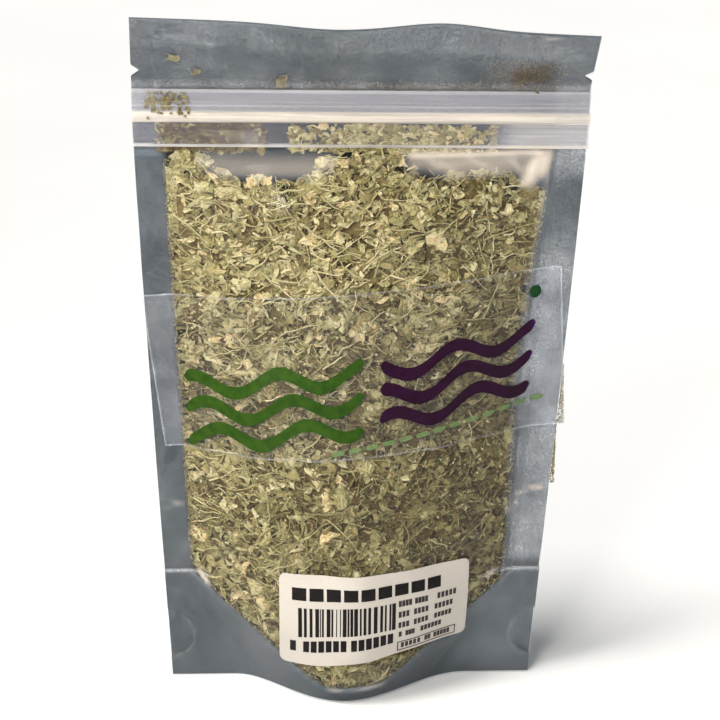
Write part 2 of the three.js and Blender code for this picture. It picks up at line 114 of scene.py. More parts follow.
# %% How the pouch bulges
def clamp01(v):
    """v held between 0 and 1."""
    return np.clip(v, 0.0, 1.0)


def smooth(start, end, v):
    """0 up to start and 1 from end on, with a soft step between them."""
    t = clamp01((v - start) / (end - start))
    return t * t * (3 - 2 * t)


def inner_half(h):
    """Half of the straight distance between the side seals at height h."""
    return SEAL_LINE - BASE_PINCH / 2 * clamp01(1 - h / FLAT_ABOVE) ** 1.1


def depth(h):
    """How far the crown of a film stands out at height h. It is less just above the hem."""
    chord = 2 * inner_half(h)
    slack = np.maximum(0, 2 * SEAL_LINE / chord - 1)
    # A shallow bow that is longer than its chord by this share stands out by chord * sqrt(3/8 slack).
    return chord * np.sqrt(3 / 8 * slack) * (1 - 0.3 * np.exp(-h / 12))


def crown(s, h):
    """Cross-section of a film: 1 at the crown, 0 at the side seals."""
    reach = SEAL_LINE * (BELLY_WIDTH + (1 - BELLY_WIDTH) * smooth(0, GUSSET, h))
    t = np.clip(s / reach, -1, 1)
    skewed = t + CROWN_SKEW * (1 - t * t)
    power = 1.12 + 0.6 * (1 - smooth(0, 60, h)) + 0.4 * np.exp(-h / 14)
    return clamp01(1 - skewed * skewed) ** power


def room(h):
    """Room between the middle plane and a film for the gusset legs and the zip."""
    legs = LEG_IN * (1 - smooth(GUSSET + 1, GUSSET + 9, h))
    flange = LAYER * smooth(ZIP_BOTTOM - 3.5, ZIP_BOTTOM - 0.7, h)
    flange = flange * (1 - smooth(ZIP_TOP + 0.6, ZIP_TOP + 3.4, h))
    bead = 1 - smooth(ZIP_BEAD + 0.1, ZIP_BEAD + 1.3, np.abs(h - ZIP_RIDGE))
    return LAYER / 2 + legs + flange + bead


def lean(s):
    """Angle by which the empty flap leans forward: most at the right, with two ripples."""
    ripples = sum(rise * np.exp(-(((s - at) / width) ** 2)) for rise, at, width in FLAP_RIPPLES)
    return np.radians(FLAP_LEAN + FLAP_TWIST * s / HALF + ripples)


def arch_height(s):
    """Upper edge of the base seal: low in the middle, up to the gusset's fold at the sides."""
    t = clamp01((np.abs(s) - HEM_LEVEL) / (SEAL_LINE - HEM_LEVEL))
    return HEM_SEAL + (GUSSET - HEM_SEAL) * t ** 1.2


print("crown stands out by", np.round(depth(np.array([0.0, 50, 100, 150])), 1), "mm")

# %% [markdown]
# ## Dents and creases
# Thin laminate never lies quite smooth. Broad soft dents come from the leaf that pushes from inside,
# and sharp creases come from handling. A modifier with a cloud texture would dent the sheets, but the
# labels and the ink would then no longer fit. So the dents are a sum of a few long waves, worked out
# inside the film's own function, and each crease is a straight line in s and h.

# %% Dents
dent_draw = np.random.default_rng(41)
DENT_LENGTHS = (11, 34)        # shortest and longest wave, in mm
DENT_DEPTH = 0.16
# Each wave's direction, length and phase.
DENTS = [
    (dent_draw.uniform(0, np.pi), dent_draw.uniform(*DENT_LENGTHS), dent_draw.uniform(0, 2 * np.pi))
    for _ in range(9)
]


def dents(s, h):
    """Waves of the loose film, none of them on a seal or beside the zip."""
    free = smooth(0, 12, SEAL_LINE - np.abs(s)) * smooth(0, 16, h - arch_height(s))
    free = free * (1 - smooth(150, 164, h))
    total = 0
    for turn, length, phase in DENTS:
        total = total + np.sin(2 * np.pi * (s * np.cos(turn) + h * np.sin(turn)) / length + phase)
    return DENT_DEPTH * free * total


print("waves of", np.round([length for _, length, _ in DENTS], 1), "mm")

# %% Creases
# On the front film only: start, end, height of the ridge and its half-width, in mm.
CREASES = [
    ((-56, 150), (-38, 128), 0.35, 2.2), ((56, 146), (40, 131), 0.4, 2.4),
    ((-57, 40), (-30, 52), 0.4, 2.0), ((57, 40), (33, 55), 0.4, 2.2),
    ((-63.3, 56), (-56.8, 58), 0.2, 0.8), ((55, 60.5), (63.5, 62.5), 0.3, 0.8),
    ((52.5, 55.5), (56, 57.5), 0.25, 0.8),
    ((-60, 20), (-46, 30), 0.22, 1.2), ((60, 22), (45, 29), 0.22, 1.2),
    ((52.5, 167), (47.5, 155), 0.5, 1.3), ((44, 166.5), (50, 158), -0.35, 1.0),
    ((30, 166.5), (38, 160), 0.3, 1.2), ((16, 166), (24, 160.5), 0.25, 1.0),
    ((-55.8, 200.5), (-41, 197.8), 0.3, 0.9), ((-41, 197.8), (-27, 199), -0.3, 0.9),
    ((15, 197.6), (22.7, 199.9), -0.4, 0.9), ((22.7, 199.9), (30.5, 198.1), -0.4, 0.9),
    ((12, 193), (30, 194.5), -0.2, 0.6), ((14, 190.4), (34, 191.8), -0.2, 0.6),
    ((49.2, 203.6), (54, 204.3), 0.25, 0.8), ((-30, 187), (-50, 194), 0.15, 1.2),
]


def along_lines(lines, s, h):
    """Sum of ridges, each along a straight line: (start, end, height, half-width)."""
    total = 0
    for (s0, h0), (s1, h1), rise, width in lines:
        length = np.hypot(s1 - s0, h1 - h0)
        along = ((s - s0) * (s1 - s0) + (h - h0) * (h1 - h0)) / length
        across = ((s - s0) * (h1 - h0) - (h - h0) * (s1 - s0)) / length
        ends = smooth(-2, 2, along) * smooth(-2, 2, length - along)
        total = total + rise * ends * np.exp(-((across / width) ** 2))
    return total


print(len(CREASES), "creases, the sharpest", min(width for *_, width in CREASES), "mm to each side")


# %% A point on a film
def film_point(s, h, side):
    """Point of a film's middle surface in mm. side is -1 for the front film and 1 for the back."""
    s, h = np.broadcast_arrays(np.asarray(s, float), np.asarray(h, float))
    inner = inner_half(h) * np.clip(s / SEAL_LINE, -1, 1)
    border = np.sign(s) * np.maximum(0, np.abs(s) - SEAL_LINE)
    above = np.maximum(0, h - ZIP_TOP)
    tilt = lean(s) * (1 - np.exp(-above / FLAP_BEND))
    run = above - FLAP_BEND * (1 - np.exp(-above / FLAP_BEND))
    # The back film gets the same waves from another place, and no creases.
    uneven = dents(side * s + 20 * (side > 0), h) + along_lines(CREASES, s, h) * (side < 0)
    out = side * (room(h) + depth(h) * crown(s, h) + uneven)
    y = out * np.cos(tilt) - run * np.sin(lean(s))
    z = h - run * (1 - np.cos(lean(s))) + out * np.sin(tilt)
    return np.stack([inner + border, y, z], -1)


NORMAL_STEP = 0.5


def film_normal(s, h, side):
    """Outward direction of a film, from four neighbours half a millimetre away."""
    low = np.maximum(0, h - NORMAL_STEP)
    across = film_point(s + NORMAL_STEP, h, side) - film_point(s - NORMAL_STEP, h, side)
    up = film_point(s, h + NORMAL_STEP, side) - film_point(s, low, side)
    normal = np.cross(across, up) * -side
    # At the hem it lies level, so that no layer dips below the floor.
    normal[..., 2] = np.where(np.asarray(h) <= 0, 0, normal[..., 2])
    return normal / np.linalg.norm(normal, axis=-1, keepdims=True)


def lay(s, h, side, out):
    """A point laid on a film and moved out of it (positive) or in towards the leaf (negative)."""
    places = [np.asarray(v, float) for v in (s, h, out)]
    s, h, out = np.broadcast_arrays(*places)
    return film_point(s, h, side) + film_normal(s, h, side) * out[..., None]


print("crown of the front film at 100 mm:", np.round(film_point(0, 100, -1), 1))

# %% [markdown]
# ## From points to a piece
# A sheet with two skins and a rim is a closed solid, so it can be cut, printed or exported. The rows
# and columns of its points give all its faces. Blender could thicken a single skin with a Solidify
# modifier, but then the inner skin couldn't lie at its own exact distance from the next layer.

# %% Closed sheets
def closed_sheet(outer, inner):
    """Points and faces of a closed sheet between two grids of rows and columns of points."""
    rows, columns = outer.shape[:2]
    count = rows * columns
    at = np.arange(count).reshape(rows, columns)
    skin = np.stack([at[:-1, :-1], at[:-1, 1:], at[1:, 1:], at[1:, :-1]], -1).reshape(-1, 4)
    rim = np.concatenate([at[0, :-1], at[:-1, -1], at[-1, :0:-1], at[:0:-1, 0]])
    after = np.roll(rim, -1)
    edge = np.stack([after, rim, rim + count, after + count], -1)
    faces = np.concatenate([skin, skin[:, ::-1] + count, edge])
    return np.concatenate([outer.reshape(-1, 3), inner.reshape(-1, 3)]), faces


def laid_sheet(s, h, side, out, thickness):
    """A closed sheet that follows a film. s and h are grids of places on the flat."""
    outer = lay(s, h, side, out + thickness / 2)
    inner = lay(s, h, side, out - thickness / 2)
    if side > 0:
        outer, inner = outer[:, ::-1], inner[:, ::-1]
    return closed_sheet(outer, inner)


def join(parts):
    """Several lots of points and faces as one."""
    points = np.concatenate([p for p, _ in parts])
    starts = np.cumsum([0] + [len(p) for p, _ in parts[:-1]])
    return points, np.concatenate([f + start for (_, f), start in zip(parts, starts)])


# %% Pieces
SHARP_ANGLE = math.radians(45)


def add_piece(name, shape, material, slot, soft=True, stands_for=(), **point_values):
    """Makes a mesh object from points in mm. point_values are numbers that the material reads."""
    points, faces = shape
    mesh = bpy.data.meshes.new(name)
    mesh.from_pydata((points * MM).tolist(), [], [list(face) for face in faces])
    for key, values in point_values.items():
        attribute = mesh.attributes.new(key, "FLOAT", "POINT")
        attribute.data.foreach_set("value", values.astype(np.float32))
    mesh.polygons.foreach_set("use_smooth", [soft] * len(mesh.polygons))
    if soft:
        mesh.set_sharp_from_angle(angle=SHARP_ANGLE)
    mesh.materials.append(material)
    piece = bpy.data.objects.new(name, mesh)
    bpy.context.scene.collection.objects.link(piece)
    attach(piece, "root")
    if stands_for:
        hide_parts(*stands_for)
    triangles = sum(len(p.vertices) - 2 for p in mesh.polygons)
    print(f"{name}: {len(points)} points, {triangles} triangles")


# %% [markdown]
# ## Making a material
# Colours are written as they look on a screen (sRGB hex), and Blender's shaders want linear light, so
# one function turns one into the other. A second small function adds any node with its settings and
# links, which keeps each material readable as a list of what its surface is made of.

# %% Material helpers
def linear(hex_colour):
    """sRGB hex, such as "#A89972", as linear RGBA."""
    shares = [int(hex_colour[i:i + 2], 16) / 255 for i in (1, 3, 5)]
    light = [v / 12.92 if v <= 0.04045 else ((v + 0.055) / 1.055) ** 2.4 for v in shares]
    return (*light, 1.0)


def new_material(name):
    """A material with nothing but its output, and its node tree."""
    material = bpy.data.materials.new(name)
    material.use_nodes = True
    material.node_tree.nodes.clear()
    output = material.node_tree.nodes.new("ShaderNodeOutputMaterial")
    return material, material.node_tree, output


def node(tree, kind, settings=None, inputs=None):
    """Adds one node. inputs are numbers, colours or other nodes' sockets, by name or by place."""
    made = tree.nodes.new(kind)
    for key, value in (settings or {}).items():
        setattr(made, key, value)
    for key, value in (inputs or {}).items():
        if isinstance(value, bpy.types.NodeSocket):
            tree.links.new(value, made.inputs[key])
        else:
            made.inputs[key].default_value = value
    return made


def set_stops(ramp, stops):
    """Fills a colour ramp with (place, hex) stops."""
    band = ramp.color_ramp
    while len(band.elements) < len(stops):
        band.elements.new(1.0)
    for element, (place, colour) in zip(band.elements, stops):
        element.position = place
        element.color = linear(colour)


def say_made(*materials):
    """Prints each material's name and how many nodes it is made of."""
    for material in materials:
        print(f"{material.name}: {len(material.node_tree.nodes)} nodes")


# %% [markdown]
# ## Clear laminate
# The front film is PET laminated to polyethylene, cast smooth: it shows what is behind it, with a
# sharp gloss and a faint milky haze. Glass that bends light would be slow and adds nothing in a film
# a tenth of a millimetre thick. So the light goes straight through a Transparent shader, a Fresnel
# share of it is mirrored by the outer face, and a few percent is scattered by a pale haze. The haze
# is thicker where the film has been heat-sealed, and is speckled there by the sealing jaws; on the
# right seal the frosted haze and its bright points are partly a painted reflection and painted glints.
# A film under a sticker is wetted by its glue, so it mirrors nothing there, and rubbed film mirrors
# less: each point carries its share of gloss as the number "bare". Where loose film is creased it
# turns a warm white, which along the creases is partly a painted highlight, and the number "crumple"
# says how much. The jaws' real grain is too fine to show, so it is drawn at half a millimetre.

# %% Haze of a clear film
GRAIN_MM = 0.5         # grain of a seal
# Bright points in a frosted seal are partly painted glints.
GLINT_MM = 0.4         # bright points in a frosted seal
SCUFF_MM = 14          # soft patches of thicker and thinner haze


def film_haze(tree, place, haze, sealed_haze):
    """Share of light that the film scatters: haze where loose, sealed_haze for each unit of "sealed"."""
    # The grain of a seal, and the bright points where it is frosted, which are partly painted glints.
    speckle = node(tree, "ShaderNodeTexNoise", inputs={
        "Vector": place, "Scale": 1 / (GRAIN_MM * MM), "Detail": 4.0, "Roughness": 0.75})
    grain = node(tree, "ShaderNodeMapRange", inputs={
        "Value": speckle.outputs["Fac"], "From Min": 0.4, "From Max": 0.68,
        "To Min": 0.4, "To Max": 1.7})
    glints = node(tree, "ShaderNodeTexNoise", inputs={
        "Vector": place, "Scale": 1 / (GLINT_MM * MM), "Detail": 1.0})
    sparkle = node(tree, "ShaderNodeMapRange", inputs={
        "Value": glints.outputs["Fac"], "From Min": 0.58, "From Max": 0.72,
        "To Min": 0.0, "To Max": 1.5})
    sealed = node(tree, "ShaderNodeAttribute", {"attribute_name": "sealed"})
    frosted = node(tree, "ShaderNodeMapRange", inputs={
        "Value": sealed.outputs["Fac"], "From Min": 1.2, "From Max": 4.5})
    uneven = node(tree, "ShaderNodeMath", {"operation": "MULTIPLY_ADD"}, {
        0: sparkle.outputs["Result"], 1: frosted.outputs["Result"], 2: grain.outputs["Result"]})
    # Soft patches in the seals and in the loose film.
    scuff = node(tree, "ShaderNodeTexNoise", inputs={
        "Vector": place, "Scale": 1 / (SCUFF_MM * MM), "Detail": 5.0, "Roughness": 0.65})
    scuffed = node(tree, "ShaderNodeMapRange", inputs={
        "Value": scuff.outputs["Fac"], "From Min": 0.45, "From Max": 0.7,
        "To Min": haze * 0.6, "To Max": haze * 1.8})
    patchy = node(tree, "ShaderNodeMapRange", inputs={
        "Value": scuff.outputs["Fac"], "From Min": 0.36, "From Max": 0.64,
        "To Min": 0.6, "To Max": 1.4})
    patches = node(tree, "ShaderNodeMath", {"operation": "MULTIPLY"}, {
        0: sealed.outputs["Fac"], 1: patchy.outputs["Result"]})
    seal_share = node(tree, "ShaderNodeMath", {"operation": "MULTIPLY"}, {
        0: patches.outputs["Value"], 1: uneven.outputs["Value"]})
    hazy = node(tree, "ShaderNodeMath", {"operation": "MULTIPLY_ADD"}, {
        0: seal_share.outputs["Value"], 1: sealed_haze, 2: scuffed.outputs["Result"]})
    return hazy.outputs["Value"]


# %% Clear laminate
RIPPLE_MM = 5          # waves in the mirror


def clear_film(name, haze, sealed_haze, gloss_roughness):
    """Clear film: seen through, with a haze and with gloss on its outer face."""
    material, tree, output = new_material(name)
    place = node(tree, "ShaderNodeTexCoord").outputs["Object"]
    crumple = node(tree, "ShaderNodeAttribute", {"attribute_name": "crumple"})
    milk = node(tree, "ShaderNodeMath", {"operation": "ADD", "use_clamp": True}, {
        0: film_haze(tree, place, haze, sealed_haze), 1: crumple.outputs["Fac"]})
    # What goes straight through, and what the haze scatters.
    through = node(tree, "ShaderNodeBsdfTransparent", inputs={"Color": linear("#FBFBFC")})
    # Where the film is creased its haze turns a warm white: whitening of the film, and partly a painted
    # highlight.
    cast = node(tree, "ShaderNodeValToRGB", inputs={0: crumple.outputs["Fac"]})
    set_stops(cast, [(0.02, "#D8DDE4"), (0.14, "#EBDFD0")])
    pale = node(tree, "ShaderNodeBsdfPrincipled", inputs={
        "Base Color": cast.outputs["Color"], "Roughness": 0.5})
    body = node(tree, "ShaderNodeMixShader", inputs={
        0: milk.outputs["Value"], 1: through.outputs[0], 2: pale.outputs[0]})
    # The gloss of the outer face.
    ripple = node(tree, "ShaderNodeTexNoise", inputs={
        "Vector": place, "Scale": 1 / (RIPPLE_MM * MM), "Detail": 2.0})
    bump = node(tree, "ShaderNodeBump", inputs={
        "Strength": 0.25, "Distance": 0.25 * MM, "Height": ripple.outputs["Fac"]})
    fresnel = node(tree, "ShaderNodeFresnel", inputs={"IOR": 1.36, "Normal": bump.outputs["Normal"]})
    facing = node(tree, "ShaderNodeNewGeometry").outputs["Backfacing"]
    outer_only = node(tree, "ShaderNodeMath", {"operation": "SUBTRACT", "use_clamp": True}, {
        0: fresnel.outputs["Fac"], 1: facing})
    bare = node(tree, "ShaderNodeAttribute", {"attribute_name": "bare"})
    mirrored = node(tree, "ShaderNodeMath", {"operation": "MULTIPLY"}, {
        0: outer_only.outputs["Value"], 1: bare.outputs["Fac"]})
    shine = node(tree, "ShaderNodeBsdfGlossy", inputs={
        "Roughness": gloss_roughness, "Normal": bump.outputs["Normal"]})
    surface = node(tree, "ShaderNodeMixShader", inputs={
        0: mirrored.outputs["Value"], 1: body.outputs[0], 2: shine.outputs[0]})
    tree.links.new(surface.outputs[0], output.inputs["Surface"])
    return material


clear_laminate = clear_film("clear_laminate_cast", haze=0.004, sealed_haze=0.03, gloss_roughness=0.12)
say_made(clear_laminate)

# %% [markdown]
# ## Labels, notches and creases on the flat film
# The front is one sheet of clear film, about a tenth of a millimetre thick. Before it is drawn, the
# things that mark it get their places on the flat: the two stickers whose glue wets it, the notches
# for tearing it open, the half rounds punched through the gusset behind it, and the lines along which
# handling has creased it white, partly a painted highlight. Each is written down once, in the same s
# and h as the film.

# %% Labels and cuts
FILM = 0.14
# Corners on the flat film, left and right end of each edge.
FRONT_LABEL = {"bottom": [(-62, 75.8), (67.4, 82.5)], "top": [(-65.8, 122.6), (61.4, 131.8)]}
STICKER = {"bottom": [(-26.7, 12.3), (40.8, 15.3)], "top": [(-26.3, 43.4), (39.2, 43.2)]}
NOTCH_HEIGHT = 188.5
NOTCH_DEPTH = 2.4
NOTCH_HALF = 1.8       # half of a notch's height
NOTCH_ROOT = 60.0      # columns outside this one move in at a notch
PUNCH_HEIGHT = 14.0    # half rounds punched out of the gusset's edges
PUNCH_RADIUS = 7.5
print("notches", NOTCH_DEPTH, "mm deep at", NOTCH_HEIGHT, "mm, half rounds of", PUNCH_RADIUS, "mm")

# %% Crumpled places and painted highlights
# Start, end, cover and half-width of each line. The cover is the white of creased film, along the
# creases partly a painted highlight. A cover below 0 is a place where leaf is caught in the weld and
# leaves it clearer.
WHITENED_AND_HIGHLIGHTS = [
    # Below the right half of the zip.
    ((13, 165.7), (52, 165.9), 0.28, 0.8), ((13, 164.2), (50, 164.6), 0.17, 2.7),
    ((20, 162.4), (44, 163.2), 0.1, 2.0), ((24, 160.2), (50, 161.2), 0.08, 1.3),
    ((52.3, 165.5), (48.3, 156.5), 0.62, 2.1), ((54.0, 166.2), (52.6, 159), 0.4, 1.5),
    ((18, 165), (27, 161.2), 0.08, 1.0), ((30, 165), (40, 160.4), 0.1, 0.8),
    ((43, 165), (46.5, 160), 0.14, 1.2),
    # Below its left half.
    ((-47, 163.6), (-8, 164.0), 0.1, 2.4), ((-44, 160.4), (-12, 161.2), 0.09, 1.8),
    # Short creases at both side seals and beside the gusset's fold.
    ((55, 60.5), (63.5, 62.5), 0.22, 0.6), ((52.5, 55.5), (56, 57.5), 0.2, 0.6),
    ((-63.3, 56), (-56.8, 58), 0.12, 0.6), ((-54, 36), (-50.8, 32.2), 0.45, 0.7),
    ((46, 34.8), (50, 36.3), 0.35, 0.7),
    # The flap's creases, and the leaf caught in it.
    ((-55.8, 200.5), (-41, 197.8), 0.04, 0.8), ((49.2, 203.6), (54, 204.3), 0.15, 0.6),
    ((-53.5, 192.7), (-52, 192.7), -0.06, 2.2), ((-47.2, 188.2), (-46.2, 188.2), -0.07, 2.0),
    ((-23.8, 186.2), (-22.7, 186.2), -0.07, 2.4), ((42, 188.8), (54, 189.4), -0.05, 3.4),
    # The middle of the base seal.
    ((-9.5, 5.4), (-5, 5.1), 0.15, 0.5), ((2, 5.1), (11, 5.6), 0.12, 0.5),
]
print(len(WHITENED_AND_HIGHLIGHTS), "crumpled places, the whitest", max(cover for _, _, cover, _ in WHITENED_AND_HIGHLIGHTS))

# %% [markdown]
# ## The film's grid
# A flat grid with a displacement would stretch where the pouch swells. Here the grid is laid by the
# film's own function, about one column per millimetre in front, with closer rows where it bends over
# the zip. The tear notches are cut by moving the last columns inwards, so that the edge stays a clean
# closed rim.

# %% Grid of the film
def steps(*stretches):
    """Evenly spaced numbers through several stretches, each (start, end, spacing)."""
    found = [np.linspace(a, b, max(1, round((b - a) / gap)), endpoint=False) for a, b, gap in stretches]
    return np.concatenate([*found, [stretches[-1][1]]])


def film_grid(column_gap, row_gap):
    """Flat places of a whole film, with the two tear notches cut in."""
    half = steps((0, 54, column_gap), (54, 60, 0.5), (60, HALF, 1.0))
    columns = np.concatenate([-half[:0:-1], half])
    rows = steps((0, 2, 1.0), (2, GUSSET - 2, row_gap), (GUSSET - 2, GUSSET + 3, 0.4),
                 (GUSSET + 3, 150, row_gap), (150, 163, 0.8), (163, 187, 0.45), (187, 190.2, 0.4),
                 (190.2, TOP, 0.6))
    s, h = np.meshgrid(columns, rows)
    cut = NOTCH_DEPTH * clamp01(1 - np.abs(h - NOTCH_HEIGHT) / NOTCH_HALF)
    outside = np.maximum(0, np.abs(s) - NOTCH_ROOT)
    s = s - np.sign(s) * outside * cut / (HALF - NOTCH_ROOT)
    return s, h


FRONT_GAPS = (1.1, 1.6)        # between columns and between rows, in mm
BACK_GAPS = (2.0, 1.6)
film_s, film_h = film_grid(*FRONT_GAPS)
print("front film: %d rows of %d points" % film_s.shape)

# %% [markdown]
# ## Seals
# Hot jaws weld the films at the sides, along the base and across the flap. A weld is hazier than loose
# film, and haziest along its pressed edges. Those bright edge lines, and the lines of the arch and the
# gusset's fold, are partly painted highlights, and the right weld's extra haze is partly a painted
# reflection. Painting this by hand would be slow and hard to change, so each point's haze is a sum of
# soft bands, one for each seal and one for each edge of it.

# %% Haze of the seals
WIDEST_AT = 97         # height at which the right seal is widest
BAR_SEAL = 163.5       # height of the short frosted stretch below the zip, at the right
FLAP_EDGE = 184.6      # lower edge of the flap's weld
TOP_LINE = 197.3       # pressed line across the flap, which falls a little to the right


def ridge(distance, width):
    """1 on a line and nothing a few widths away from it."""
    return np.exp(-((distance / width) ** 2))


def right_edge(h):
    """Where the right seal begins. It is wider than the left one, most of all half-way up."""
    return 53.2 - 1.8 * ridge(h - WIDEST_AT, 22) + 1.6 * smooth(125, 155, h)


def base_haze(s, h):
    """The base weld below its arch, hazier towards the corners and most of all at the right."""
    corners = np.where(s > 0, 1.3, 0.9) * smooth(18, 42, np.abs(s))
    return (0.3 + corners) * (1 - smooth(-0.6, 0.4, h - arch_height(s)))


def sealed_share(s, h):
    """Haze: about 2 on a weld, more on its pressed edges as partly painted highlight, 0 where loose."""
    inner = np.where(s > 0, right_edge(h), SEAL_LINE)
    above_arch = h - arch_height(s)
    sides = 1.75 * smooth(inner - 0.3, inner + 0.5, np.abs(s)) * smooth(187, 183, h) * smooth(30, 38, h)
    # The right weld is frosted half-way up and below the zip, partly as a painted reflection.
    frosted = smooth(inner + 0.2, inner + 1.5, s) * smooth(149, 128, h) * smooth(38, 41, h)
    frosted = frosted + 1.5 * smooth(inner + 0.5, inner + 2.5, s) * ridge(h - BAR_SEAL, 4.5)
    # The side welds' inner edges, and a thin strip inside the right one: partly painted highlights.
    edge_haze_and_highlight = ridge(np.abs(s) - inner + 0.4, 0.5) * np.where(s > 0, 3.0, 1.4)
    edge_haze_and_highlight = edge_haze_and_highlight * smooth(172, 165, h) * smooth(-2, 2, above_arch)
    strip = 2.2 * ridge(s - inner + 1.4, 1.0) * smooth(50, 60, h) * smooth(168, 160, h)
    # The arch, the punched half rounds and the gusset's fold: bright lines, partly painted highlights.
    edges = 2.6 * ridge(above_arch - 0.3, 0.6)
    punch = 1.4 * ridge(np.hypot(np.abs(s) - HALF, h - PUNCH_HEIGHT) - PUNCH_RADIUS, 0.45)
    fold = 5.0 * ridge(h - GUSSET - 0.6, 0.45) * smooth(49, 53, np.abs(s))
    # The flap's weld, and a second one across its top.
    flap = 2.0 * smooth(183, 185, h) + 1.6 * ridge(h - FLAP_EDGE, 1.3)
    top = 1.2 * smooth(193, 200, h + 0.01 * s) + 0.4 * ridge(h - TOP_LINE + 0.01 * s, 0.8)
    welds = np.maximum(sides + 3.7 * frosted, base_haze(s, h))
    return welds + edge_haze_and_highlight + strip + edges + punch + fold + flap + top


for place_s in (-61.0, 0.0, 61.0):
    print("haze at", place_s, "mm across and 100 mm up:", round(float(sealed_share(place_s, 100.0)), 2))

# %% [markdown]
# ## Front film
# Now the sheet is laid. Under the two stickers it has no gloss, because their glue wets it, and left
# of the middle the strip over the zip's lower edge has been rubbed dull.

# %% Front film
def on_line(start, end, at, along):
    """Where the line through two corners is, at a place across (along=1) or up (along=0)."""
    run = end[1 - along] - start[1 - along]
    rise = end[along] - start[along]
    return start[along] + rise * (at - start[1 - along]) / run


def covered_by(label, s, h):
    """True where a film lies under a label."""
    bottom_left, bottom_right = label["bottom"]
    top_left, top_right = label["top"]
    above = h > on_line(bottom_left, bottom_right, s, 1)
    below = h < on_line(top_left, top_right, s, 1)
    right_of = s > on_line(bottom_left, top_left, h, 0)
    left_of = s < on_line(bottom_right, top_right, h, 0)
    return above & below & right_of & left_of


def both_faces(values):
    """Numbers of a grid of points, for the two faces of the sheet that it becomes."""
    return np.concatenate([values.ravel(), values.ravel()])


# White of creased film, partly a painted highlight along the creases.
crumple_white_and_highlight = along_lines(WHITENED_AND_HIGHLIGHTS, film_s, film_h)
rubbed_dull = 0.8 * ridge(film_h - 167.5, 7.5) * smooth(-12, -24, film_s)
bare = 1.0 - (covered_by(FRONT_LABEL, film_s, film_h) | covered_by(STICKER, film_s, film_h))
bare = bare * (1 - rubbed_dull)
add_piece(
    "front_film_clear", laid_sheet(film_s, film_h, -1, 0, FILM), clear_laminate, "clear_film",
    stands_for=["front_film"], sealed=both_faces(sealed_share(film_s, film_h)),
    bare=both_faces(bare), crumple=both_faces(crumple_white_and_highlight))

# %% [markdown]
# ## Silver laminate
# The back and the gusset are metallised film: a layer of aluminium a few dozen nanometres thick
# between two plastics. It is a metal to the eye, but a soft grey one, rolled smooth, with fine
# speckle from the sealing jaws. Its inner face is seen through a dusty sealing layer, so it is a much
# darker grey than the outside: each point carries which face it is on, as the number "inside". The
# speckle is drawn at 0.8 mm, because the jaws' own is too fine to show.

# %% Silver laminate
JAW_SPECKLE_MM = 0.8
CLOUD_MM = 22          # soft patches where the metal layer is thicker or thinner


def silver_film(name, outside, inside):
    """outside and inside are each a darker and a lighter grey."""
    material, tree, output = new_material(name)
    place = node(tree, "ShaderNodeTexCoord").outputs["Object"]
    speckle = node(tree, "ShaderNodeTexNoise", inputs={
        "Vector": place, "Scale": 1 / (JAW_SPECKLE_MM * MM), "Detail": 3.0, "Roughness": 0.7})
    cloud = node(tree, "ShaderNodeTexNoise", inputs={
        "Vector": place, "Scale": 1 / (CLOUD_MM * MM), "Detail": 3.0, "Roughness": 0.5})
    blend = node(tree, "ShaderNodeMath", {"operation": "MULTIPLY_ADD"}, {
        0: speckle.outputs["Fac"], 1: 0.6, 2: cloud.outputs["Fac"]})
    greys = []
    for darker, lighter in (outside, inside):
        grey = node(tree, "ShaderNodeValToRGB", inputs={0: blend.outputs["Value"]})
        set_stops(grey, [(0.6, darker), (1.0, lighter)])
        greys.append(grey.outputs["Color"])
    inner_face = node(tree, "ShaderNodeAttribute", {"attribute_name": "inside"})
    tone = node(tree, "ShaderNodeMix", {"data_type": "RGBA"}, {
        0: inner_face.outputs["Fac"], 6: greys[0], 7: greys[1]})
    rough = node(tree, "ShaderNodeMapRange", inputs={
        "Value": cloud.outputs["Fac"], "From Min": 0.3, "From Max": 0.7, "To Min": 0.3, "To Max": 0.42})
    bump = node(tree, "ShaderNodeBump", inputs={
        "Strength": 0.05, "Distance": 0.05 * MM, "Height": speckle.outputs["Fac"]})
    metal = node(tree, "ShaderNodeBsdfPrincipled", inputs={
        "Base Color": tone.outputs[2], "Metallic": 1.0, "Roughness": rough.outputs["Result"],
        "Normal": bump.outputs["Normal"]})
    tree.links.new(metal.outputs[0], output.inputs["Surface"])
    return material


silver_laminate = silver_film(
    "silver_laminate_metallised", outside=("#7C858C", "#949CA2"), inside=("#343F46", "#455057"))
say_made(silver_laminate)

# %% [markdown]
# ## Back film and gusset
# The back film is the same sheet on the other side, in silver. The gusset is one strip folded into a
# W: a leg sealed inside each film and a free span between them that hangs to the floor. Each row of
# its grid follows one line of the fold, from the front hem over the span to the back hem. The half
# rounds punched out at its edges let the two films weld to each other, and stop the corners opening.

# %% Back film
back_s, back_h = film_grid(*BACK_GAPS)
# The inner face is dark right up to the last millimetre, where the cut edge shows its silver.
inner_face = smooth(TOP, TOP - 1, back_h).ravel()
add_piece(
    "back_film_silver", laid_sheet(back_s, back_h, 1, 0, FILM), silver_laminate, "silver_film",
    stands_for=["back_film"], inside=np.concatenate([0 * back_h.ravel(), inner_face]))

# %% How the gusset folds
PUNCH_ROOT = 50.0      # columns outside this one move in at a punched half round
HANG = 0.75            # how far the span would hang without the floor, as a share of its length
SAG_END = 0.55         # share of the way to the middle over which it comes down to its lowest
LEG_ROWS = 25
SPAN_ROWS = 33


def punched(s, h):
    """Moves the edge columns in round the half-round punch."""
    cut = np.sqrt(np.maximum(0, PUNCH_RADIUS ** 2 - (h - PUNCH_HEIGHT) ** 2))
    outside = np.maximum(0, np.abs(s) - PUNCH_ROOT)
    return s - np.sign(s) * outside * cut / (HALF - PUNCH_ROOT)


def gusset_leg(columns, share, side):
    """One row of a leg: share 0 is the hem and 1 is the upper edge of the base seal."""
    height = arch_height(columns) * share
    return lay(punched(columns, height), height, side, -LEG_IN)


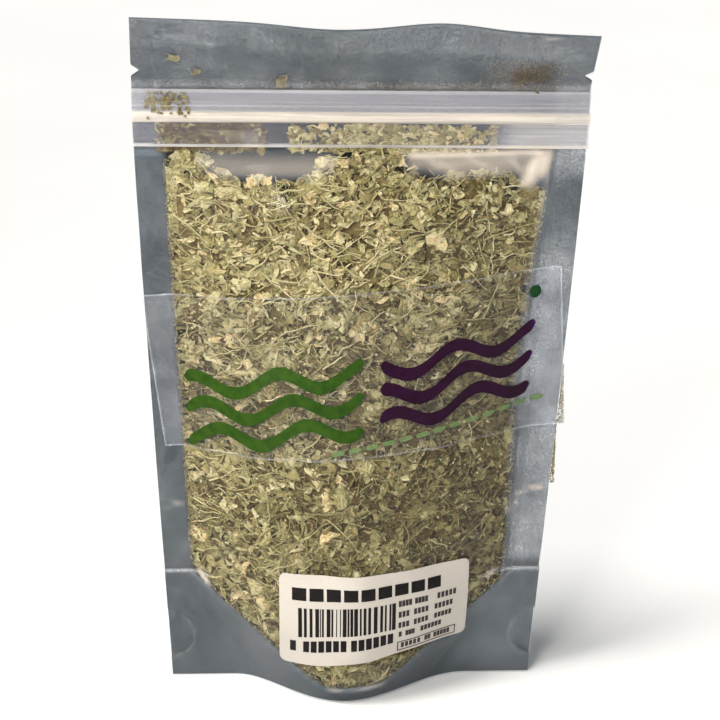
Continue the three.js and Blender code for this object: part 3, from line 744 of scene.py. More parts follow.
def gusset_span(columns, t):
    """One row of the free span, which hangs until it meets the floor. t runs from front to back."""
    arch = arch_height(columns)
    front = lay(columns, arch, -1, -LEG_IN)
    span = np.abs(front[:, 1])
    dip = HANG * np.sqrt(np.maximum(0, (GUSSET - arch) ** 2 - span ** 2))
    lowest = np.maximum(FILM, front[:, 2] - dip)
    # Where it hardly dips, at the sides, it closes to a small round fold between the films.
    rolled = clamp01(1 - dip / 2)
    fold = np.sin(np.pi * t) * np.minimum(span, LAYER / 2) * rolled
    across = rolled * np.cos(np.pi * t) + (1 - rolled) * (1 - 2 * t)
    sag = smooth(0, SAG_END, 1 - abs(2 * t - 1))
    height = front[:, 2] - (front[:, 2] - lowest) * sag + fold
    return np.stack([front[:, 0], -span * across, height], -1)


def thickened(rows, thickness):
    """A closed sheet of even thickness round a grid of middle points."""
    across = np.gradient(rows, axis=1)
    up = np.gradient(rows, axis=0)
    normal = np.cross(across, up)
    normal[..., 2] = np.where(rows[..., 2] < 1e-6, 0, normal[..., 2])
    normal /= np.maximum(1e-9, np.linalg.norm(normal, axis=-1, keepdims=True))
    return closed_sheet(rows + normal * thickness / 2, rows - normal * thickness / 2)


print("gusset strip:", 2 * HALF, "x", 2 * GUSSET, "mm flat")

# %% Bottom gusset
half_columns = steps((0, PUNCH_ROOT, 2.0), (PUNCH_ROOT, HALF, 1.0))
gusset_columns = np.concatenate([-half_columns[:0:-1], half_columns])
shares = np.linspace(0, 1, LEG_ROWS)
front_leg = [gusset_leg(gusset_columns, share, -1) for share in shares]
span = [gusset_span(gusset_columns, t) for t in np.linspace(0, 1, SPAN_ROWS)[1:-1]]
back_leg = [gusset_leg(gusset_columns, share, 1) for share in shares[::-1]]
gusset_rows = np.stack(front_leg + span + back_leg)
add_piece(
    "bottom_gusset_silver", thickened(gusset_rows, FILM), silver_laminate, "silver_film",
    stands_for=["bottom_gusset"], inside=np.ones(2 * gusset_columns.size * len(gusset_rows)))

# %% [markdown]
# ## Press-zip
# Each half of the zip is an extruded polyethylene strip: a thin milky flange welded to its film, a
# thick bead that carries the groove or the rib, and small guide rails beside it. Its cross-section
# is the same all along, so the strip is lofted from one ring of points. In the side seals the hot
# jaws crush the bead flat. Thin plastic is see-through and thick plastic is cream, so each point
# carries how milky it is.

# %% Milky polyethylene
STREAK_MM = (30, 2, 0.9)       # drawn along the strip by the extruder: length, depth and height


def milky_plastic(name):
    """Extruded polyethylene, as milky at each point as its number "milk" says."""
    material, tree, output = new_material(name)
    place = node(tree, "ShaderNodeTexCoord").outputs["Object"]
    stretched = node(tree, "ShaderNodeMapping", inputs={
        "Vector": place, "Scale": [1 / (size * MM) for size in STREAK_MM]})
    streak = node(tree, "ShaderNodeTexNoise", inputs={
        "Vector": stretched.outputs["Vector"], "Scale": 1.0, "Detail": 4.0, "Roughness": 0.6})
    milk = node(tree, "ShaderNodeAttribute", {"attribute_name": "milk"})
    uneven = node(tree, "ShaderNodeMapRange", inputs={
        "Value": streak.outputs["Fac"], "From Min": 0.3, "From Max": 0.7, "To Min": 0.7, "To Max": 1.3})
    cover = node(tree, "ShaderNodeMath", {"operation": "MULTIPLY", "use_clamp": True}, {
        0: milk.outputs["Fac"], 1: uneven.outputs["Result"]})
    tone = node(tree, "ShaderNodeValToRGB", inputs={0: milk.outputs["Fac"]})
    set_stops(tone, [(0.1, "#C9C9D4"), (0.45, "#D8D6D6"), (0.85, "#DBD2C4")])
    bump = node(tree, "ShaderNodeBump", inputs={
        "Strength": 0.3, "Distance": 0.1 * MM, "Height": streak.outputs["Fac"]})
    plastic = node(tree, "ShaderNodeBsdfPrincipled", inputs={
        "Base Color": tone.outputs["Color"], "Roughness": 0.35, "IOR": 1.51,
        "Normal": bump.outputs["Normal"]})
    through = node(tree, "ShaderNodeBsdfTransparent")
    surface = node(tree, "ShaderNodeMixShader", inputs={
        0: cover.outputs["Value"], 1: through.outputs[0], 2: plastic.outputs[0]})
    tree.links.new(surface.outputs[0], output.inputs["Surface"])
    return material


zip_polyethylene = milky_plastic("zip_polyethylene_extruded")
say_made(zip_polyethylene)

# %% Cross-section of the zip
FLANGE_IN = 0.15       # from the middle plane to a flange's inner face
FLANGE_OUT = 0.55      # and to its outer face
BEAD_OUT = 1.55        # and to the top of the bead
GROOVE_OUT = 0.9       # depth and half-width of the groove in the front strip
ZIP_GROOVE = 0.65
RIB_TIP = 0.6          # reach and half-width of the rib on the back strip
ZIP_RIB = 0.35


def bead_profile():
    """Outer side of a strip from bottom to top as (out, height, milk)."""
    tall = BEAD_OUT - FLANGE_OUT
    bead = [(FLANGE_OUT + tall * np.cos(a) ** 0.6, ZIP_RIDGE + ZIP_BEAD * np.sin(a), 0.9)
            for a in np.linspace(-0.5 * np.pi, 0.5 * np.pi, 9)]
    # The rest stands out of the flange by the first number.
    lower = [(0, ZIP_BOTTOM, 0.55), (0, ZIP_BOTTOM + 0.7, 0.5), (0, ZIP_BOTTOM + 1.0, 0.06),
             (0, 173.5, 0.06)]
    rails = [(0, 177.1, 0.24), (0, 178.0, 0.24), (0.3, 178.3, 0.5), (0, 178.6, 0.24), (0, 179.3, 0.18),
             (0.2, 179.5, 0.36), (0, 179.7, 0.18)]
    upper = [(0, ZIP_TOP - 1.1, 0.18), (0.08, ZIP_TOP - 0.8, 0.42), (0, ZIP_TOP, 0.42)]
    flange = [[(FLANGE_OUT + rise, h, milk) for rise, h, milk in stretch]
              for stretch in (lower, rails, upper)]
    return flange[0] + bead + flange[1] + flange[2]


def inner_profile(side):
    """Inner side of a strip from top to bottom: the front one has a groove, the back one a rib."""
    reach, half = (GROOVE_OUT, ZIP_GROOVE) if side < 0 else (-RIB_TIP, ZIP_RIB)
    upper, lower = ZIP_RIDGE + half, ZIP_RIDGE - half
    return [(FLANGE_IN, ZIP_TOP, 0.2), (FLANGE_IN, upper, 0.2), (reach, upper, 0.6),
            (reach, lower, 0.6), (FLANGE_IN, lower, 0.05), (FLANGE_IN, ZIP_BOTTOM, 0.05)]


print("ring of", len(bead_profile()) + len(inner_profile(-1)), "points")

# %% Zip strips
STRIP_POINTS = 131     # one ring per millimetre
CRUSHED = 0.75         # share of the bead that the side seals press flat
MILKY_BELOW = 173.8    # the flange under the bead ends here


def zip_strip(name, side, stands_for):
    """One half of the zip, a ring of points drawn along the film's width and closed at both ends."""
    ring = np.array(bead_profile() + inner_profile(side))
    across = np.linspace(-HALF, HALF, STRIP_POINTS)
    crushed = CRUSHED * smooth(SEAL_LINE - 3, SEAL_LINE + 1.5, np.abs(across))[:, None]
    out = ring[:, 0] - np.maximum(0, ring[:, 0] - FLANGE_OUT) * crushed
    x = film_point(across, ZIP_RIDGE, side)[:, :1]
    points = np.stack([x + 0 * out, side * out, ring[:, 1] + 0 * out], -1).reshape(-1, 3)
    # The front flange is milkier at its right end, and its lower edge at one place on the left.
    whiter = 0.42 * smooth(34, 46, across)[:, None] * (ring[:, 1] < MILKY_BELOW)
    whiter = whiter + 0.25 * ridge(across + 31, 3.0)[:, None] * (ring[:, 1] < ZIP_BOTTOM + 0.8)
    milk = ring[:, 2] + whiter * (side < 0)
    count = len(ring)
    first = np.arange(len(across) - 1)[:, None] * count
    a = first + np.arange(count)
    b = first + np.roll(np.arange(count), -1)
    faces = np.stack([a, b, b + count, a + count], -1).reshape(-1, 4).tolist()
    faces += [list(range(count))[::-1], list(range(len(points) - count, len(points)))]
    if side < 0:
        faces = [face[::-1] for face in faces]
    add_piece(name, (points, faces), zip_polyethylene, "zip_plastic",
              stands_for=[stands_for], milk=milk.ravel())


zip_strip("zip_groove_strip_milky", -1, "zip_groove_strip")
zip_strip("zip_rib_strip_milky", 1, "zip_rib_strip")

# %% [markdown]
# ## Dried leaf
# Dried coriander leaf is dull and matt: chlorophyll fades to sage and khaki, veins and stalks to
# straw, and bruised bits to brown. Each flake carries one number, its tone, that picks its colour
# from a ramp, and fine noise at a third of a millimetre gives the crinkled skin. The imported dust
# behind the flakes has coarser crumbs.

# %% Dried leaf
MOTTLE_MM = 1.6        # lighter and darker spots on one flake
SKIN_CRINKLE_MM = 0.35
DUST_CRINKLE_MM = 0.6


def dried_leaf(name, stops, crinkle_mm):
    """Matt leaf whose colour each point's number "tone" picks from the stops."""
    material, tree, output = new_material(name)
    place = node(tree, "ShaderNodeTexCoord").outputs["Object"]
    tone = node(tree, "ShaderNodeAttribute", {"attribute_name": "tone"})
    mottle = node(tree, "ShaderNodeTexNoise", inputs={
        "Vector": place, "Scale": 1 / (MOTTLE_MM * MM), "Detail": 4.0, "Roughness": 0.65})
    shift = node(tree, "ShaderNodeMapRange", inputs={
        "Value": mottle.outputs["Fac"], "From Min": 0.3, "From Max": 0.7,
        "To Min": -0.16, "To Max": 0.16})
    mixed = node(tree, "ShaderNodeMath", {"operation": "ADD", "use_clamp": True}, {
        0: tone.outputs["Fac"], 1: shift.outputs["Result"]})
    colour = node(tree, "ShaderNodeValToRGB", inputs={0: mixed.outputs["Value"]})
    set_stops(colour, stops)
    crinkle = node(tree, "ShaderNodeTexNoise", inputs={
        "Vector": place, "Scale": 1 / (crinkle_mm * MM), "Detail": 3.0, "Roughness": 0.6})
    bump = node(tree, "ShaderNodeBump", inputs={
        "Strength": 0.8, "Distance": 0.2 * MM, "Height": crinkle.outputs["Fac"]})
    skin = node(tree, "ShaderNodeBsdfPrincipled", inputs={
        "Base Color": colour.outputs["Color"], "Roughness": 0.82, "Specular IOR Level": 0.25,
        "Normal": bump.outputs["Normal"]})
    tree.links.new(skin.outputs[0], output.inputs["Surface"])
    return material


LEAF_STOPS = [
    (0.0, "#44361A"), (0.1, "#5F4A2A"), (0.2, "#5D582D"), (0.3, "#806F45"), (0.42, "#7E7B4D"),
    (0.52, "#9E8E5C"), (0.62, "#969465"), (0.72, "#B8AA79"), (0.8, "#B3AF82"), (0.9, "#CBC095"),
    (0.96, "#DACFA2"), (1.0, "#C9B280"),
]
# The heap's packed dust is darker than the flakes, partly as painted shade of the deep leaf.
DUST_AND_SHADE_STOPS = [(0.0, "#483616"), (0.5, "#6C5B34"), (1.0, "#877646")]
leaf_skin = dried_leaf("dried_coriander_leaf", LEAF_STOPS, SKIN_CRINKLE_MM)
leaf_dust_and_shade = dried_leaf("packed_leaf_dust_and_shade", DUST_AND_SHADE_STOPS, DUST_CRINKLE_MM)
say_made(leaf_skin, leaf_dust_and_shade)

# %% [markdown]
# ## The heap of leaf
# A pouch holds tens of thousands of crumbs, but only the outer few millimetres show. So a closed heap
# of packed dust fills the inside, darker than the flakes as a painted shade of the deep leaf, and real
# flakes are laid between it and the film. They could be rained in by a physics run, which is slow and
# settles at the bottom. Here each flake gets a random place on the flat film, a random turn and tilt,
# and goes in just deep enough that its highest point touches the film, as pressed leaf does.

# %% The leaf's space
CLEAR = 0.35           # from the middle of the film to the nearest flake
LEAF_TOP = 166.3       # height of the highest flakes, left of the middle


def leaf_line(s):
    """Height of the highest flakes: a hollow at the left, and lower again from the middle on."""
    hollow = 7.0 * np.exp(-(((s + 27) / 16) ** 4)) + 6.2 * smooth(11, 18, s)
    hollow = hollow + 1.6 * smooth(-14, -34, s)
    uneven = 0.8 * np.sin(s / 2.7)
    return LEAF_TOP - hollow - 8 * smooth(40, SEAL_LINE, s) + uneven


def shade(s, h):
    """Painted shade: how much the leaf's tone is darkened low down and at the right, where less light
    falls.
    """
    low = smooth(140, 65, h) * smooth(0, 22, h) * (0.11 + 0.25 * smooth(-40, 35, s))
    return low + 0.17 * smooth(10, 45, s) * smooth(100, 140, h)


def half_gap(s, h):
    """From the middle plane to a film at a place on the flat."""
    return room(h) + depth(h) * crown(s, h)


def in_fill(s, h, inset):
    """Points inside the front film, held within the leaf's space. inset is the depth below the film."""
    s = np.clip(s, -56.5, right_edge(h) - 0.4)
    h = np.clip(h, arch_height(s) + 0.7, leaf_line(s) + 1.5)
    deepest = np.maximum(CLEAR, 1.6 * half_gap(s, h) - 0.8)
    return lay(s, h, -1, -np.clip(inset, CLEAR, deepest))


print("the leaf reaches up to", np.round(leaf_line(np.array([-50.0, -27, 0, 25, 50])), 0), "mm")

# %% The heap
HEAP_LEFT = -54.0
HEAP_RIGHT = 50.0
HEAP_COLUMNS = 50
HEAP_ROWS = 64


def fill_top(s):
    """Height of the heap of leaf, lower towards the sides."""
    return 169 - 13 * (np.abs(s) / SEAL_LINE) ** 4


def heap_grid(side, inset):
    """Rows of the heap's surface from the base seal to a little below the highest flakes."""
    columns = np.linspace(HEAP_LEFT, HEAP_RIGHT, HEAP_COLUMNS)
    low = arch_height(columns) + 1.4
    high = np.minimum(fill_top(columns), leaf_line(columns)) - 5.5
    s, share = np.meshgrid(columns, np.linspace(0, 1, HEAP_ROWS))
    h = low + (high - low) * share
    deepest = np.maximum(CLEAR, half_gap(s, h) - 0.4)
    lumps = 0.8 * np.sin(s * 0.9) * np.sin(h * 0.8)
    return lay(s, h, side, -np.minimum(inset + lumps, deepest))


heap = closed_sheet(heap_grid(-1, 3.0), heap_grid(1, 0.9))
heap_tone = np.random.default_rng(5).uniform(0.2, 0.8, len(heap[0]))
add_piece("leaf_heap", heap, leaf_dust_and_shade, "dried_leaf", stands_for=["leaf_fill"], tone=heap_tone)

# %% [markdown]
# ## Flakes
# A broken leaflet is a thin curved plate with lobes on some sides and a straight break on others.
# Its outline is a ring of spokes whose length follows two to five lobes plus noise, cut by one
# straight line. Rings inside it bend with a curl and a twist. Leaf that is poured in settles flat, so
# about half of the flakes show their edge from the front, as streaks across, and the others lie flat
# against the film. All flakes are worked out together as arrays, and each one is a closed plate.

# %% Turning many pieces at once
def turned(points, spin, tilt, turn):
    """Turns each lot of points about its own upright axis, tips it, and turns it again."""
    def about(axis, angle):
        """Matrices that turn by each of the angles."""
        c, s, zero, one = np.cos(angle), np.sin(angle), 0 * angle, 0 * angle + 1
        rows = {"z": [c, -s, zero, s, c, zero, zero, zero, one],
                "x": [one, zero, zero, zero, c, -s, zero, s, c]}[axis]
        return np.stack(rows, -1).reshape(-1, 3, 3)
    matrix = about("z", turn) @ about("x", tilt) @ about("z", spin)
    return np.einsum("nij,nvj->nvi", matrix, points)


quarter_turn = turned(np.array([[[1.0, 0, 0]]]), *np.array([[0], [0], [np.pi / 2]]))
print("x turned by a quarter:", np.round(quarter_turn.ravel(), 3))


# %% Outline of a flake
FLAKE = 0.13           # thickness of a dried leaflet
FULL_TURN = 6.3        # radians, with a little over
UNCUT = 9              # longer than any spoke


def flake_outline(draw, count, size, spokes, slim):
    """The rim points across and up: spokes of a lobed leaflet, some cut short by a straight break."""
    even = np.linspace(0, 2 * np.pi, spokes, endpoint=False)
    turn = even + draw.uniform(-0.16, 0.16, (count, spokes))
    lobes = draw.integers(2, 6, (count, 1))
    reach = 0.68 + 0.2 * np.sin(lobes * turn + draw.uniform(0, FULL_TURN, (count, 1)))
    reach = np.clip(reach + draw.normal(0, 0.1, (count, spokes)), 0.28, 1)
    facing = np.cos(turn - draw.uniform(0, FULL_TURN, (count, 1)))
    break_at = draw.uniform(0.2, 0.75, (count, 1)) / np.maximum(facing, 0.2)
    reach = np.minimum(reach, np.where(facing > 0.2, break_at, UNCUT))
    u = size[:, None] * reach * np.cos(turn)
    v = size[:, None] * reach * np.sin(turn) * draw.uniform(*slim, (count, 1))
    return np.stack([u, v], -1)


# %% Plate of a flake
def flake_plates(draw, count, size, spokes, rings, tilt, slim=(0.4, 1), curl=0.5, crumple=0.05):
    """Local points (count, points, 3) of broken flakes, longest along x, and the faces of one."""
    outline = flake_outline(draw, count, size, spokes, slim)
    layers = [np.zeros((count, 1, 2))] + [outline * ring / rings for ring in range(1, rings + 1)]
    flat = np.concatenate(layers, 1)
    x, y = flat[..., 0], flat[..., 1]
    out = [np.zeros(1)] + [np.full(spokes, ring / rings) for ring in range(1, rings + 1)]
    bend = draw.normal(0, curl, (2, count, 1)) / size[:, None]
    twist = draw.normal(0, curl, (count, 1)) / size[:, None]
    rise = bend[0] * x ** 2 + bend[1] * y ** 2 + twist * x * y
    rise = rise + draw.normal(0, crumple, rise.shape) * size[:, None] * np.concatenate(out)
    top = np.concatenate([flat, rise[..., None] + FLAKE / 2], -1)
    under = np.concatenate([flat, rise[..., None] - FLAKE / 2], -1)
    points = np.concatenate([top, under], 1)
    points = turned(points, draw.normal(0, 0.35, count), tilt, draw.normal(0, 0.6, count))
    return points, plate_faces(spokes, rings)


def plate_faces(spokes, rings):
    """Triangles of one plate: fans at the middle, bands between rings, and the rim."""
    k = np.arange(spokes)
    after = np.roll(k, -1)
    skin = [np.stack([0 * k, 1 + k, 1 + after], -1)]
    for ring in range(rings - 1):
        a, b = 1 + ring * spokes + k, 1 + ring * spokes + after
        skin += [np.stack([a, a + spokes, b + spokes], -1), np.stack([a, b + spokes, b], -1)]
    skin = np.concatenate(skin)
    count = 1 + spokes * rings
    a, b = 1 + (rings - 1) * spokes + k, 1 + (rings - 1) * spokes + after
    rim = [np.stack([b, a, a + count], -1), np.stack([b, a + count, b + count], -1)]
    return np.concatenate([skin, skin[:, ::-1] + count, *rim])


print("a flake of 12 spokes and 2 rings has", len(plate_faces(12, 2)), "triangles")


# %% Places in the leaf
def scatter(draw, count, low_gap=0.75):
    """Random places on the front film where there is leaf behind it."""
    s = draw.uniform(-56.4, 56.4, count * 3)
    h = draw.uniform(HEM_SEAL, 168, count * 3)
    inside = (h > arch_height(s) + 0.8) & (h < leaf_line(s)) & (half_gap(s, h) > low_gap)
    inside &= s < right_edge(h) - 0.2
    return s[inside][:count], h[inside][:count]


def settle(points, s, h, extra):
    """Puts lots of local points at their places, each just deep enough to clear the film."""
    inset = CLEAR + points[..., 2].max(1) + extra
    across, up = s[:, None] + points[..., 0], h[:, None] + points[..., 1]
    return in_fill(across, up, inset[:, None] - points[..., 2])


def poured(draw, count, flat_share):
    """Tilts of flakes that were poured in: some flat on the film, the others tipped to either side."""
    tipped = draw.normal(0.95, 0.28, count) * draw.choice([-1, 1], count, p=[0.3, 0.7])
    return np.where(draw.uniform(0, 1, count) < flat_share, draw.normal(0, 0.25, count), tipped)


def bits_piece(name, points, faces, tone):
    """One piece from many lots of points that all have the same faces."""
    count, each = points.shape[:2]
    all_faces = (faces[None] + (np.arange(count) * each)[:, None, None]).reshape(-1, faces.shape[1])
    add_piece(name, (points.reshape(-1, 3), all_faces), leaf_skin, "dried_leaf",
              soft=False, tone=np.repeat(tone, each))


# %% Sizes, tones and depths
leaf_draw = np.random.default_rng(20817)


def sizes(count, least, spread, power):
    """Random sizes in mm, from least to least + spread. A higher power makes large ones rarer."""
    return least + spread * leaf_draw.uniform(0, 1, count) ** power


def settled_piece(name, points, faces, s, h, tones, depths, shaded=True):
    """Bits pressed against the film. tones: middle, spread, darkest, palest. depths: least, typical."""
    middle, spread, darkest, palest = tones
    tone = leaf_draw.normal(middle, spread, len(s))
    # Flakes and stalks take the painted shade of shade(), darker low down and at the right.
    if shaded:
        tone = tone - shade(s, h)
    least, typical = depths
    extra = least + leaf_draw.exponential(typical, len(s))
    bits_piece(name, settle(points, s, h, extra), faces, np.clip(tone, darkest, palest))


# %% Flakes of the heap
LARGE_COUNT = 2000
size = sizes(LARGE_COUNT, 2.2, 4.2, 2)
tilt = poured(leaf_draw, LARGE_COUNT, 0.6)
plates, plate = flake_plates(leaf_draw, LARGE_COUNT, size, 12, 2, tilt, crumple=0.08)
s, h = scatter(leaf_draw, LARGE_COUNT)
settled_piece("leaf_flakes_large", plates, plate, s, h, (0.66, 0.24, 0.12, 1), (0.15, 0.5))

BROAD_COUNT = 420
size = sizes(BROAD_COUNT, 2.8, 3.4, 1.4)
tilt = poured(leaf_draw, BROAD_COUNT, 0.8)
plates, plate = flake_plates(
    leaf_draw, BROAD_COUNT, size, 14, 3, tilt, slim=(0.55, 1), curl=0.9, crumple=0.12)
s, h = scatter(leaf_draw, BROAD_COUNT)
settled_piece("leaf_fragments_broad", plates, plate, s, h, (0.83, 0.16, 0.3, 1), (0, 0.15))

SHRED_COUNT = 2650
size = sizes(SHRED_COUNT, 1.6, 3.6, 1.6)
tilt = poured(leaf_draw, SHRED_COUNT, 0.4)
plates, plate = flake_plates(leaf_draw, SHRED_COUNT, size, 8, 1, tilt, slim=(0.16, 0.5))
s, h = scatter(leaf_draw, SHRED_COUNT)
settled_piece("leaf_shreds", plates, plate, s, h, (0.62, 0.27, 0.05, 1), (0.35, 0.7))

CHIP_COUNT = 4400
size = sizes(CHIP_COUNT, 0.8, 1.5, 1.5)
tilt = leaf_draw.normal(0, 0.7, CHIP_COUNT)
plates, plate = flake_plates(leaf_draw, CHIP_COUNT, size, 7, 1, tilt)
s, h = scatter(leaf_draw, CHIP_COUNT)
settled_piece("leaf_flakes_small", plates, plate, s, h, (0.5, 0.24, 0.03, 1), (0.5, 1.5))

# %% [markdown]
# ## Stalks and crumbs
# Between the flakes lie thin straw stalks, split and bent, and crumbs down to dust. A stalk is a
# four-sided tube along a bowed line that thins towards one end. A crumb is an octahedron with each
# corner pushed in or out, which is enough at half a millimetre.

# %% Stalks
TUBE_RINGS = 6
TUBE_SIDES = 4


def tube_faces():
    """The sides and the two end caps of one tube."""
    k = np.arange(TUBE_SIDES)
    after = np.roll(k, -1)
    starts = np.arange(TUBE_RINGS - 1) * TUBE_SIDES
    sides = [np.stack([r + after, r + TUBE_SIDES + after, r + TUBE_SIDES + k, r + k], -1)
             for r in starts]
    last = (TUBE_RINGS - 1) * TUBE_SIDES
    return np.concatenate(sides + [k[None, ::-1], last + k[None]])


def stalk_tubes(draw, count, length, radius):
    """Local points of bowed tubes and the faces of one of them."""
    t = np.linspace(-0.5, 0.5, TUBE_RINGS)
    bow = draw.normal(0, 0.09, (count, 1)) * length[:, None]
    kink = draw.normal(0, 0.05, (count, TUBE_RINGS)) * length[:, None] * 0.5
    side = bow * (1 - 4 * t * t) + kink
    rise = draw.normal(0, 0.025, (count, 1)) * length[:, None] * (1 - 4 * t * t)
    thick = radius[:, None] * (0.85 - 0.5 * t) * draw.uniform(0.8, 1.2, (count, TUBE_RINGS))
    angle = 2 * np.pi * np.arange(TUBE_SIDES) / TUBE_SIDES
    x = np.repeat((length[:, None] * t)[..., None], TUBE_SIDES, -1)
    y = side[..., None] + thick[..., None] * np.cos(angle)
    z = rise[..., None] + thick[..., None] * np.sin(angle)
    points = np.stack([x, y, z], -1).reshape(count, -1, 3)
    points = turned(points, 0 * length, draw.normal(0, 0.05, count), draw.normal(0, 0.75, count))
    return points, tube_faces()


# %% Stalks of the heap
STALK_COUNT = 1100
length = sizes(STALK_COUNT, 3, 13, 2.2)
radius = leaf_draw.uniform(0.1, 0.32, STALK_COUNT)
tubes, tube = stalk_tubes(leaf_draw, STALK_COUNT, length, radius)
s, h = scatter(leaf_draw, STALK_COUNT, 1.6)
settled_piece("leaf_stalks", tubes, tube, s, h, (0.72, 0.16, 0.2, 0.97), (0, 0.6))

# %% Crumbs
OCTAHEDRON = np.array([[1, 0, 0], [0, 1, 0], [-1, 0, 0], [0, -1, 0], [0, 0, 1], [0, 0, -1]], float)
OCTAHEDRON_FACES = np.array([
    [0, 1, 4], [1, 2, 4], [2, 3, 4], [3, 0, 4], [1, 0, 5], [2, 1, 5], [3, 2, 5], [0, 3, 5]])
CRUMB_SHAPE = np.array([1, 0.75, 0.6])


def crumb_points(draw, count, low, high):
    """Local points of crumbs with a radius from low to high."""
    size = draw.uniform(low, high, (count, 1, 1))
    points = OCTAHEDRON * size * draw.uniform(0.45, 1.2, (count, 6, 1)) * CRUMB_SHAPE
    spin = draw.uniform(0, FULL_TURN, count)
    tilt = draw.normal(0, 0.7, count)
    return turned(points, spin, tilt, draw.uniform(0, FULL_TURN, count))


def crumbs_piece(name, crumbs, s, h, tones, depths):
    """Crumbs pressed against the film, without the painted shade that darkens the low and right leaf."""
    settled_piece(name, crumbs, OCTAHEDRON_FACES, s, h, tones, depths, shaded=False)


CRUMB_COUNT = 4000
crumbs = crumb_points(leaf_draw, CRUMB_COUNT, 0.25, 0.75)
s, h = scatter(leaf_draw, CRUMB_COUNT)
crumbs_piece("leaf_crumbs", crumbs, s, h, (0.5, 0.25, 0.05, 1), (0.3, 0.7))

BASE_DUST = 1500
dust = crumb_points(leaf_draw, BASE_DUST, 0.15, 0.55)
s = leaf_draw.uniform(-54, 53, BASE_DUST)
h = arch_height(s) + 0.4 + leaf_draw.exponential(1.3, BASE_DUST)
crumbs_piece("leaf_dust_base", dust, s, h, (0.36, 0.2, 0.03, 0.9), (0, 0.3))

SIDE_DUST = 1800
dust = crumb_points(leaf_draw, SIDE_DUST, 0.15, 0.5)
h = leaf_draw.uniform(30, 163, SIDE_DUST)
from_edge = leaf_draw.exponential(1.0, SIDE_DUST)
at_left = leaf_draw.uniform(0, 1, SIDE_DUST) < 0.6
s = np.where(at_left, from_edge - 56.6, right_edge(h) - 0.3 - from_edge)
crumbs_piece("leaf_dust_sides", dust, s, h, (0.34, 0.18, 0.03, 0.9), (0, 0.4))

# %% [markdown]
# ## Stray leaf
# Some leaf always goes where it shouldn't. Bits lie flattened between the two halves of the zip, a
# few flakes and a patch of fine dust are caught in the flap, and a line of dust is packed along both
# side seals, where the films meet. They are the same flakes and crumbs, pressed almost flat at a
# chosen depth.

# %% Pressing bits flat
PRESSED_IN = 0.12      # the least depth below the middle of the film


def pressed(points, s, h, inset, flatness):
    """Puts lots of local points at a fixed depth below the film, pressed almost flat."""
    depth_below = np.maximum(PRESSED_IN, inset - points[..., 2] * flatness)
    return lay(s[:, None] + points[..., 0], h[:, None] + points[..., 1], -1, -depth_below)


def between(points, s, h, out, flatness):
    """Puts lots of local points between the two halves of the zip, pressed almost flat."""
    across, up = s[:, None] + points[..., 0], h[:, None] + points[..., 1]
    x = film_point(across, ZIP_RIDGE, -1)[..., 0]
    return np.stack([x, -out[:, None] - points[..., 2] * flatness, up], -1)


print("room between the zip's flanges:", 2 * FLANGE_IN, "mm")

# %% Bits in the zip
stray_draw = np.random.default_rng(903)


def stray_flakes(name, s, h, size, inset, tone):
    """A few small flakes pressed flat at a depth below the film."""
    count = len(s)
    tilt = stray_draw.normal(0, 0.3, count)
    plates, plate = flake_plates(stray_draw, count, size, 9, 2, tilt, slim=(0.65, 1), curl=0.2)
    bits_piece(name, pressed(plates, s, h, inset, 0.06), plate, tone)


FLANGE_BITS = 2100
on_left = stray_draw.uniform(0, 1, FLANGE_BITS) < 0.44
left_s = stray_draw.uniform(-57.5, -27.5, FLANGE_BITS)
right_s = np.clip(stray_draw.normal(9, 16, FLANGE_BITS), -19.5, 38)
s = np.where(on_left, left_s, right_s)
h = 165.5 + 7.6 * stray_draw.uniform(0, 1, FLANGE_BITS) ** 1.4
size = 0.7 + 2.0 * stray_draw.uniform(0, 1, FLANGE_BITS) ** 2
tilt = stray_draw.normal(0, 0.5, FLANGE_BITS)
plates, plate = flake_plates(stray_draw, FLANGE_BITS, size, 7, 1, tilt, slim=(0.25, 0.9), curl=0.2)
tone = np.clip(stray_draw.normal(0.0, 0.26, FLANGE_BITS) + np.where(on_left, 0.06, 0.56), 0.0, 1)
out = stray_draw.uniform(-0.06, 0.06, FLANGE_BITS)
bits_piece("stray_flakes_zip", between(plates, s, h, out, 0.1), plate, tone)

CORNER_BITS = 120
corner_s = stray_draw.uniform(-61, -49, CORNER_BITS)
corner_h = stray_draw.normal(179.3, 1.4, CORNER_BITS)
corner_tone = stray_draw.uniform(0.1, 0.45, CORNER_BITS)
stray_flakes("stray_flakes_zip_corner", corner_s, corner_h, np.full(CORNER_BITS, 0.75), 0.5, corner_tone)

# %% Leaf in the flap and the side seals
# Place across and up, size and tone of each flake.
FLAP_FLAKES = np.array([
    (-52.75, 192.7, 2.9, 0.4), (-46.75, 188.2, 2.5, 0.3), (-23.25, 186.2, 3.2, 0.22),
    (-49.0, 189.5, 0.9, 0.2), (-38.5, 190.5, 0.8, 0.2),
])
flap_s, flap_h, flap_size, flap_tone = FLAP_FLAKES.T
stray_flakes("stray_flakes_flap", flap_s, flap_h, flap_size, 0.1, flap_tone)

# Half of the dust is a patch at the right, the other half a line along the flap's lower edge.
PATCH_BITS = 1600
s = np.concatenate([stray_draw.normal(46.5, 5.5, PATCH_BITS), stray_draw.normal(20, 30, PATCH_BITS)])
h = np.concatenate([stray_draw.normal(189, 3.0, PATCH_BITS), stray_draw.normal(184.4, 0.7, PATCH_BITS)])
inside = (np.abs(s) < 62) & (h > 183.4) & (h < 195)
s, h = s[inside], h[inside]
specks = stray_draw.uniform(0, 1, len(s)) < 0.02
dust = crumb_points(stray_draw, len(s), 0.1, 0.46) * np.where(specks, 2.6, 1.0)[:, None, None]
tone = stray_draw.uniform(0.0, 0.14, len(s)) * np.where(specks, 0.1, 1.0)
bits_piece("stray_dust_flap", pressed(dust, s, h, LAYER / 2, 0.5), OCTAHEDRON_FACES, tone)

